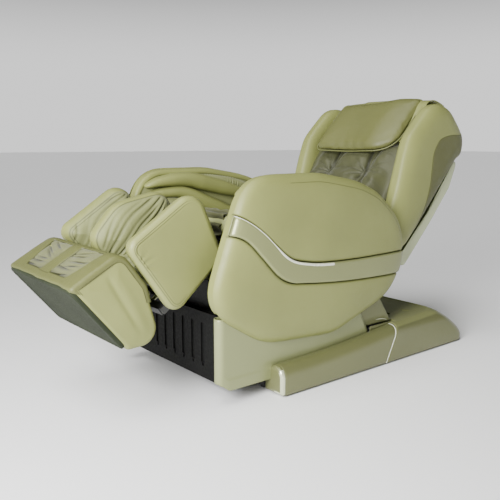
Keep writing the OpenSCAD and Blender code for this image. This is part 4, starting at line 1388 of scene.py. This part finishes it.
def window_lining(name, side, seed):
    """Lining gathered by a cross thread, seen through an opening of the foot cover."""
    path, normal = walk(FOOT_LINE, COVER_FROM, COVER_TO, 700)
    run = run_of(path)
    s = np.linspace(WINDOW_S[0] - 0.006, WINDOW_S[1] + 0.010, 170)
    base = np.stack([np.interp(s, run, path[:, k]) for k in range(2)], 1)
    out = np.stack([np.interp(s, run, normal[:, k]) for k in range(2)], 1)
    x = np.linspace(WINDOW_X[0] - 0.010, WINDOW_X[1] + 0.040, 120)
    t = (x - WINDOW_X[0]) / (WINDOW_X[1] + 0.014 - WINDOW_X[0])
    v = (s - WINDOW_S[0]) / (WINDOW_S[1] - WINDOW_S[0])
    draw = np.random.default_rng(seed)
    bulge = np.sin(np.pi * np.clip(t, 0, 1))[None] * np.sin(np.pi * np.clip(v, 0, 1))[:, None]
    creases = np.zeros((len(s), len(x)))
    for k in range(6):
        middle_v = 0.06 + 0.150 * k + draw.uniform(-0.03, 0.03)
        middle_t = draw.uniform(0.25, 0.75)
        tilt = draw.uniform(-0.10, 0.45)
        length = draw.uniform(0.18, 0.34)
        width = draw.uniform(0.022, 0.040)
        dt = t[None] - middle_t
        dv = v[:, None] - middle_v - tilt * dt - 0.25 * dt ** 2
        creases += np.exp(-(dt / length) ** 2 - (dv / width) ** 2)
    creases = np.clip(creases, 0, 1)
    height = -0.0016 + 0.0050 * bulge - 0.0090 * creases
    height = height + 0.0016 * ripple(t[None] * 0.11, v[:, None] * 0.11, seed, 0.035)
    ab = base[:, None] + out[:, None] * np.clip(height, -0.0085, 0.0062)[..., None]
    points = LEG.world(side * x[None], ab[..., 0], ab[..., 1])
    # painted shade in the creases, under the cover's front edge and next to the middle wall
    shade_under_edges = np.exp(-v / 0.05)[:, None] + 0.5 * np.exp(-np.abs(t) / 0.06)[None]
    return skin(name, points, LINING_FOOT, 0.003, np.clip(creases ** 1.1 + shade_under_edges, 0, 1))


def foot_pieces():
    outer = foot_wall("foot_side_cushion_left", FOOT_IN, FOOT_X, True)
    both_sides(outer, "foot_rest", "olive_leather", "foot_wall_{}", fill=0.85)
    middle = foot_wall("foot_middle_cushion", -FOOT_MID, FOOT_MID, False)
    place(middle, "foot_rest", "olive_leather", "foot_wall_middle", fill=0.85)
    place(foot_cover(), "foot_rest", "trim_leather", "foot_toe_band", fill=0.85)
    for side, sign, seed in (("left", 1, 11), ("right", -1, 12)):
        lining = window_lining(f"foot_window_lining_{side}", sign, seed)
        place(lining, "foot_rest", "lining_fabric", fill=0.4)
    place(sole(), "foot_rest", "grey_sole", "foot_sole")
    path, _ = walk(FOOT_LINE, COVER_FROM, COVER_TO, 200)
    line = at_depth(FOOT_LINE, path, FOOT_LINE.mean(0), 0.0175)
    points = LEG.world(FOOT_X + 0.0012, line[:, 0], line[:, 1])
    both_sides(stitch_line("foot_side_seam_left", points, 0.0009, SEAM), "foot_rest", "olive_leather")
    heel_line = rounded([(-0.408, -0.052, 0.012), (-0.334, -0.052, 0.012), (-0.400, -0.040, 0.010)])
    x0, x1 = FOOT_MID + 0.0005, FOOT_IN - 0.0005
    for side, low, high in (("left", x0, x1), ("right", -x1, -x0)):
        tray = Pad(LEG, heel_line, low, high, (0.006, 0.006), (0.006, 0.006), around=80, core_rings=5,
                   rim_rows=24)
        heel = tray.finish(f"foot_heel_cushion_{side}", None, LINING)
        place(heel, "foot_rest", "lining_fabric", "foot_heel_tray", fill=0.8)


# ---------- back ----------
WING_LINE = rounded([(0.658, 0.034, 0.134), (0.540, 0.066, 0.108), (0.688, -0.038, 0.100),
                     (0.400, 0.020, 0.090), (0.215, -0.052, 0.086), (0.500, -0.060, 0.076)], 0.018)
WING_LINE[:, 1] += 0.008 * smooth_step(0.08, 0.15, WING_LINE[:, 1])
WING_LINE[:, 1] += (0.015 * smooth_step(0.715, 0.665, WING_LINE[:, 0])
                    * smooth_step(-0.02, -0.10, WING_LINE[:, 1]))
WING_IN, WING_OUT = 0.246, 0.330
WING_EDGE = (0.034, 0.070)      # the roll round a wing's outer edge: how far it turns in, over what depth
# the seam between a wing's side and its rear panel, which is painted darker as shade: (a, b) in the back's
# plane
WING_REAR = [(0.760, -0.060), (0.700, 0.008), (0.646, 0.047), (0.608, 0.055), (0.561, 0.043), (0.504, 0.000),
             (0.452, -0.037), (0.366, -0.082), (0.273, -0.106)]


def wing_face(a, b):
    """Outer face of a wing: x for a point of its side view."""
    depth = depth_in(WING_LINE, np.stack([a, b], -1))
    t = np.clip(1 - depth / WING_EDGE[1], 0, 1)
    return WING_OUT - WING_EDGE[0] * (1 - np.sqrt(1 - t * t)) + 0.004 * smooth_step(0, 0.12, depth)


def wing():
    """The padded side wing of the back, with a broad soft roll round its outer edge."""
    pad = Pad(BACK, WING_LINE, WING_IN + 0.001, WING_OUT, (0.030, 0.050), WING_EDGE, around=220, rim_rows=4,
              centre=(0.52, 0.0))
    face = pad.zone > 0
    pad.x = np.where(face, wing_face(pad.a, pad.b), pad.x)
    pad.x = pad.x + 0.0010 * pad.zone * ripple(pad.a, pad.b, 31, 0.2)
    return pad.finish("back_wing_cushion_left", None, LEATHER)


def wing_rear_panel():
    """Leather sewn over the rear of a wing, wrapped round its edge; its darker colour is painted shade where
    the wing turns away from the light.
    """
    seam = spline(WING_REAR, 130)
    rim = even(WING_LINE, 1400)
    first, last = nearest(rim, seam[0]), nearest(rim, seam[-1])
    run = [(first - k) % len(rim) for k in range((first - last) % len(rim) + 1)]
    edge = even(rim[run], 130, False)
    ab = between(seam, edge, spaced(26, 0.0, 1.0))
    away = np.linalg.norm(ab - seam[None], axis=2)
    a, b = ab[..., 0], ab[..., 1]
    x = wing_face(a, b) + 0.0018 - 0.0050 * np.exp(-away / 0.0030)
    rows = [BACK.world(x, a, b)]
    ring = edge + even(normals_of(rim)[run], 130, False) * 0.0012
    for step in np.linspace(0, 1, 8)[1:]:
        wrap = x[-1] + (WING_IN + 0.030 - x[-1]) * step
        rows.append(BACK.world(wrap, ring[:, 0], ring[:, 1])[None])
    points = np.concatenate(rows)
    shade = np.zeros(points.shape[:2])
    # painted shade along the seam
    shade[: len(away)] = 0.9 * np.exp(-away / 0.0022)
    panel = grid("wing_rear_panel_left", points, shade)
    return dress(face_outwards(panel, TOUCHING), LEATHER_SEAM_AND_SHADE)


SHELL_LINE = rounded([(0.150, -0.180, 0.014), (0.380, -0.184, 0.016), (0.570, -0.178, 0.018),
                      (0.668, -0.146, 0.016), (0.150, -0.110, 0.014), (0.640, -0.110, 0.014)], 0.008)


def rear_shell():
    """The pale moulded shell over the back's rear, with two louvred vent panels pressed in."""
    path, normal = walk(SHELL_LINE, (0.686, -0.120), (0.134, -0.130), 150)
    x, below, ab = wrapped(SHELL_LINE, path, 0.3005, 0.015, 0.060, 61)
    inner = np.linspace(0, 1, ab.shape[0])[:, None]
    across = np.abs(x)[None]
    vent = smooth_step(0.045, 0.050, across) * smooth_step(0.215, 0.210, across)
    vent = vent * smooth_step(0.30, 0.32, inner) * smooth_step(0.78, 0.76, inner)
    louvre = np.abs(np.sin(np.pi * (inner - 0.31) * 24))
    ab = ab - normal[:, None] * (vent * (0.003 + 0.0035 * louvre))[..., None]
    split = bump_at(across, 0.0, 0.0016) + bump_at(inner, 0.24, 0.0040)
    ab = ab - normal[:, None] * (0.0016 * np.clip(split, 0, 1) * (below[None] < 0.03))[..., None]
    return skin("rear_shell_cover", BACK.world(x[None], ab[..., 0], ab[..., 1]), SHELL, 0.003)


class Plan(Plane):
    """The back seen from the sitter's side: a point's x is its height v, a is across and b up the back."""

    def world(self, x, a, b):
        return BACK.world(a, b, x)


PLAN = Plan(BACK.origin, BACK.along)
PILLOW_V = (0.130, 0.168)       # the pillow's rear and front, square to the back


def pillow():
    """The head pillow: a flat cushion with a piped edge, rounder at one lower corner."""
    outline = rounded([(-0.176, 0.504, 0.036), (0.086, 0.604, 0.124), (-0.168, 0.704, 0.038),
                       (0.184, 0.766, 0.028)])
    pad = Pad(PLAN, grown(outline, -0.004), PILLOW_V[0], PILLOW_V[1], (0.015, 0.030), (0.021, 0.060),
              marks=(0.004, 0.008), around=260, rim_rows=3, core_rings=22, crown_high=0.004)
    low_edge = np.clip(pad.facing(0, -1), 0, 1)
    waves = 0.5 + 0.5 * np.cos(pad.a * 2 * np.pi / 0.052 + 0.6 * np.sin(pad.a * 21))
    tucks = np.exp(-pad.depth / 0.028) * waves
    pad.x = pad.x - 0.0034 * tucks * low_edge ** 2 * (pad.zone > 0)
    pad.x = pad.x + 0.0016 * (pad.zone > 0) * ripple(pad.a, pad.b, 41, 0.24)

    def droop(a, b):
        ends = 0.022 * smooth_step(0.08, 0.22, a) - 0.014 * smooth_step(0.02, -0.20, a)
        return ends + 0.004 * smooth_step(0.60, 0.48, b)

    pad.x = pad.x - droop(pad.a, pad.b)
    obj = pad.finish("pillow_cushion", None, LEATHER_HEAD)
    puff(obj, 0.005, 3.0, 0.006)
    ring = even(outline, 300)
    lift = (PILLOW_V[0] + PILLOW_V[1]) / 2 - 0.003 - droop(ring[:, 0], ring[:, 1])
    piping = tube("pillow_piping", PLAN.world(lift, ring[:, 0], ring[:, 1]), 0.0034, 10, closed=True)
    return obj, dress(piping, PIPING)


def pillow_strap():
    """The leather strap that ties the pillow's top edge to the head, and turns over with it."""
    path = spline([(0.766, 0.141), (0.786, 0.1345), (0.799, 0.1265), (0.807, 0.117), (0.813, 0.106)], 30)
    x = np.linspace(-0.110, 0.130, 40)
    return skin("pillow_strap", BACK.world(x[None], path[:, :1], path[:, 1:]), LEATHER, 0.003)


def back_cushion():
    """The inner back pad: a middle cushion and two side cushions, with gathered straps between them."""
    half, low, high = 0.2455, -0.028, 0.700
    U, X = np.meshgrid(np.linspace(low, high, 250), np.linspace(-half, half, 220), indexing="ij")
    v = 0.098 + 0.014 * (1 - (X / 0.25) ** 4) * smooth_step(0, 0.1, U)
    swells = ((0.47, 0.014, 0.05), (0.345, 0.020, 0.06), (0.21, 0.018, 0.07), (0.07, 0.016, 0.07),
              (0.60, 0.012, 0.07))
    gathers = ((1, -0.021, 0.0036), (2, -0.007, 0.0030), (3, 0.007, 0.0030), (4, 0.022, 0.0038))
    for centre_u, height, tall in swells:
        v += height * bump_at(U, centre_u, tall) * (1 - 0.6 * bump_at(np.abs(X), 0.10, 0.035))
    valleys = np.zeros_like(v)
    for sign in (-1, 1):
        strap = X - sign * (0.104 + 0.010 * np.sin(U * 9))
        v -= 0.014 * np.exp(-(strap / 0.030) ** 2)
        for k, shift, width in gathers:
            wander = 0.004 * np.sin(U * (17 + 3 * k) + k) + shift * (0.8 * bump_at(U, 0.40, 0.10) - 0.2)
            line = np.exp(-np.abs(strap - shift + wander) / width)
            valleys += line * (0.55 + 0.45 * np.sin(U * 11 + 2 * k))
        reach = np.hypot(U - 0.395, strap)
        fan = np.abs(np.sin(np.arctan2(U - 0.395, strap) * 5 + 0.6 * sign)) ** 0.5
        valleys += (1 - fan) * np.exp(-reach / 0.06) * smooth_step(0.004, 0.02, reach)
    sag = np.abs(np.sin(U * 41 + 1.5 * np.sin(X * 24) + 2.0 * np.abs(X) * 9)) ** 0.4
    valleys += 0.35 * (1 - sag) * bump_at(np.abs(X), 0.18, 0.05)
    valleys = np.clip(valleys, 0, 1.2)
    v -= 0.0095 * valleys
    v += 0.0022 * ripple(X, U, 51, 0.06)
    v -= 0.024 * smooth_step(0.515, 0.570, U)
    edge = np.minimum(half - np.abs(X), np.minimum(U - low, high - U))
    v -= 0.014 * np.exp(-edge / 0.008)
    wing_front = np.interp(U, (0.0, 0.30, 0.45, 0.60), (0.030, 0.062, 0.096, 0.112))
    v += (np.minimum(v, wing_front) - v) * smooth_step(0.175, 0.238, np.abs(X))
    # painted shade in the valleys of the gathers and straps
    return skin("back_inner_cushion", BACK.world(X * 1.03, U, v), LINING_BACK, 0.010, 0.85 * valleys)


def head_pieces():
    """The padded top of the back, and the leather flap that lies over it behind the pillow."""
    outline = rounded([(0.735, 0.086, 0.030), (0.752, 0.056, 0.032), (0.745, -0.060, 0.040),
                       (0.722, -0.074, 0.020), (0.716, 0.100, 0.010)])
    pad = Pad(BACK, outline, -0.2435, 0.2435, (0.016, 0.020), (0.016, 0.020), around=120, rim_rows=46,
              core_rings=7)
    top = pad.finish("head_top_cushion", None, LEATHER)
    rows, columns, half = 120, 130, 0.243
    t = np.linspace(0, 1, rows)[:, None]
    x = np.linspace(-half, half, columns)[None]
    path = spline([(0.560, 0.118), (0.640, 0.122), (0.715, 0.137), (0.765, 0.141), (0.800, 0.120),
                   (0.822, 0.086), (0.836, 0.052)], rows)
    inner = 1 - np.abs(x / half) ** 6
    hanging = smooth_step(0.75, 1.0, t)
    a = path[:, :1] - 0.034 * inner * hanging
    b = path[:, 1:] + 0.030 * inner * hanging - 0.010 * np.abs(x / half) ** 4
    wave = 0.0030 * np.sin(x * 70 + 6 * t) * np.exp(-(half - np.abs(x)) / 0.03) * np.abs(np.sin(np.pi * t))
    b = b + wave + 0.0015 * ripple(np.broadcast_to(x, a.shape), a, 61, 0.09)
    points = BACK.world(x, a, b)
    flap = skin("head_flap", points, LEATHER, 0.0035, 0.0)
    edges = (("right", points[:, 0]), ("left", points[:, -1]), ("rear", points[-1]))
    hems = [dress(tube(f"head_flap_hem_{edge}", line, 0.0024), LEATHER) for edge, line in edges]
    width, length = run_of(points[rows // 2])[-1], run_of(points[:, columns // 2])[-1]
    return top, flap, hems, (float(width), float(length))


def back_pieces():
    wing_pad, rear = wing(), wing_rear_panel()
    both_sides(wing_pad, "backrest", "olive_leather", "back_wing_{}", fill=0.85)
    both_sides(rear, "backrest", "olive_leather", fill=0.85)
    place(rear_shell(), "backrest", "cream_shell", "back_rear_shell")
    place(back_cushion(), "backrest", "lining_fabric", "back_pad", fill=0.6)
    pad, piping = pillow()
    place(pad, "pillow", "olive_leather", "pillow", fill=0.7)
    place(piping, "pillow", "olive_leather")
    strap = pillow_strap()
    tuple(BACK.world(np.zeros(1), 0.808, 0.118)[0])
    tuple(BACK.world(np.zeros(1), 0.784, 0.137)[0])
    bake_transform(strap)
    top, flap, hems, size = head_pieces()
    place(top, "backrest", "olive_leather", "head_cover", fill=0.8)
    for obj in (flap, *hems):
        place(obj, "backrest", "olive_leather")
    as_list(hems)


# ---------- seat ----------
def seat():
    """The seat cushion, full and slightly uneven on top."""
    outline = rounded([(0.045, -0.045, 0.045), (0.526, -0.026, 0.026), (0.528, -0.066, 0.024),
                       (0.066, -0.070, 0.020)])
    pad = Pad(SEAT, outline, -0.234, 0.234, (0.020, 0.030), (0.020, 0.030), around=200, rim_rows=60,
              core_rings=10)
    top = pad.b > -0.02
    pad.ab[:, 1] += np.where(top, 0.006 * ripple(pad.x, pad.a, 71, 0.25) * (np.abs(pad.x) < 0.22), 0)
    return puff(pad.finish("seat_cushion_cover", None, LINING_SEAT), 0.006, 3.0, 0.005)


def apron():
    """Gathered lining from the front of the seat down to the leg rest."""
    rows, columns, half = 130, 110, 0.196
    t = np.linspace(0, 1, rows)[:, None]
    x = np.linspace(-half, half, columns)[None]
    path = spline([(-0.560, 0.628), (-0.596, 0.622), (-0.618, 0.585), (-0.632, 0.548), (-0.668, 0.520),
                   (-0.712, 0.502), (-0.750, 0.492)], rows)
    fold = np.sin(2 * np.pi * (t * 6.5 + 0.12 * np.sin(x * 17) + 0.05 * np.sin(x * 41)))
    uneven = ripple(np.broadcast_to(x, fold.shape), t * 0.3, 81, 0.05)
    height = 0.011 * fold * np.sin(np.pi * t) ** 0.6 + 0.002 * uneven
    ab = path[:, None] + right_of(path)[:, None] * height[..., None]
    points = WORLD.world(x, ab[..., 0], ab[..., 1])
    # painted shade in the fold valleys
    obj = skin("seat_apron", points, LINING_APRON, 0.003, np.clip(-fold, 0, 1) * 0.6)
    return obj, (2 * half, float(run_of(points[:, columns // 2])[-1]))


def seat_pieces():
    place(seat(), "carriage", "lining_fabric", "seat_cushion", fill=0.75)
    sheet, size = apron()
    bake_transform(sheet)


studio()
dress_cad()
base_pieces()
arm_pieces()
leg_pieces()
foot_pieces()
back_pieces()
seat_pieces()
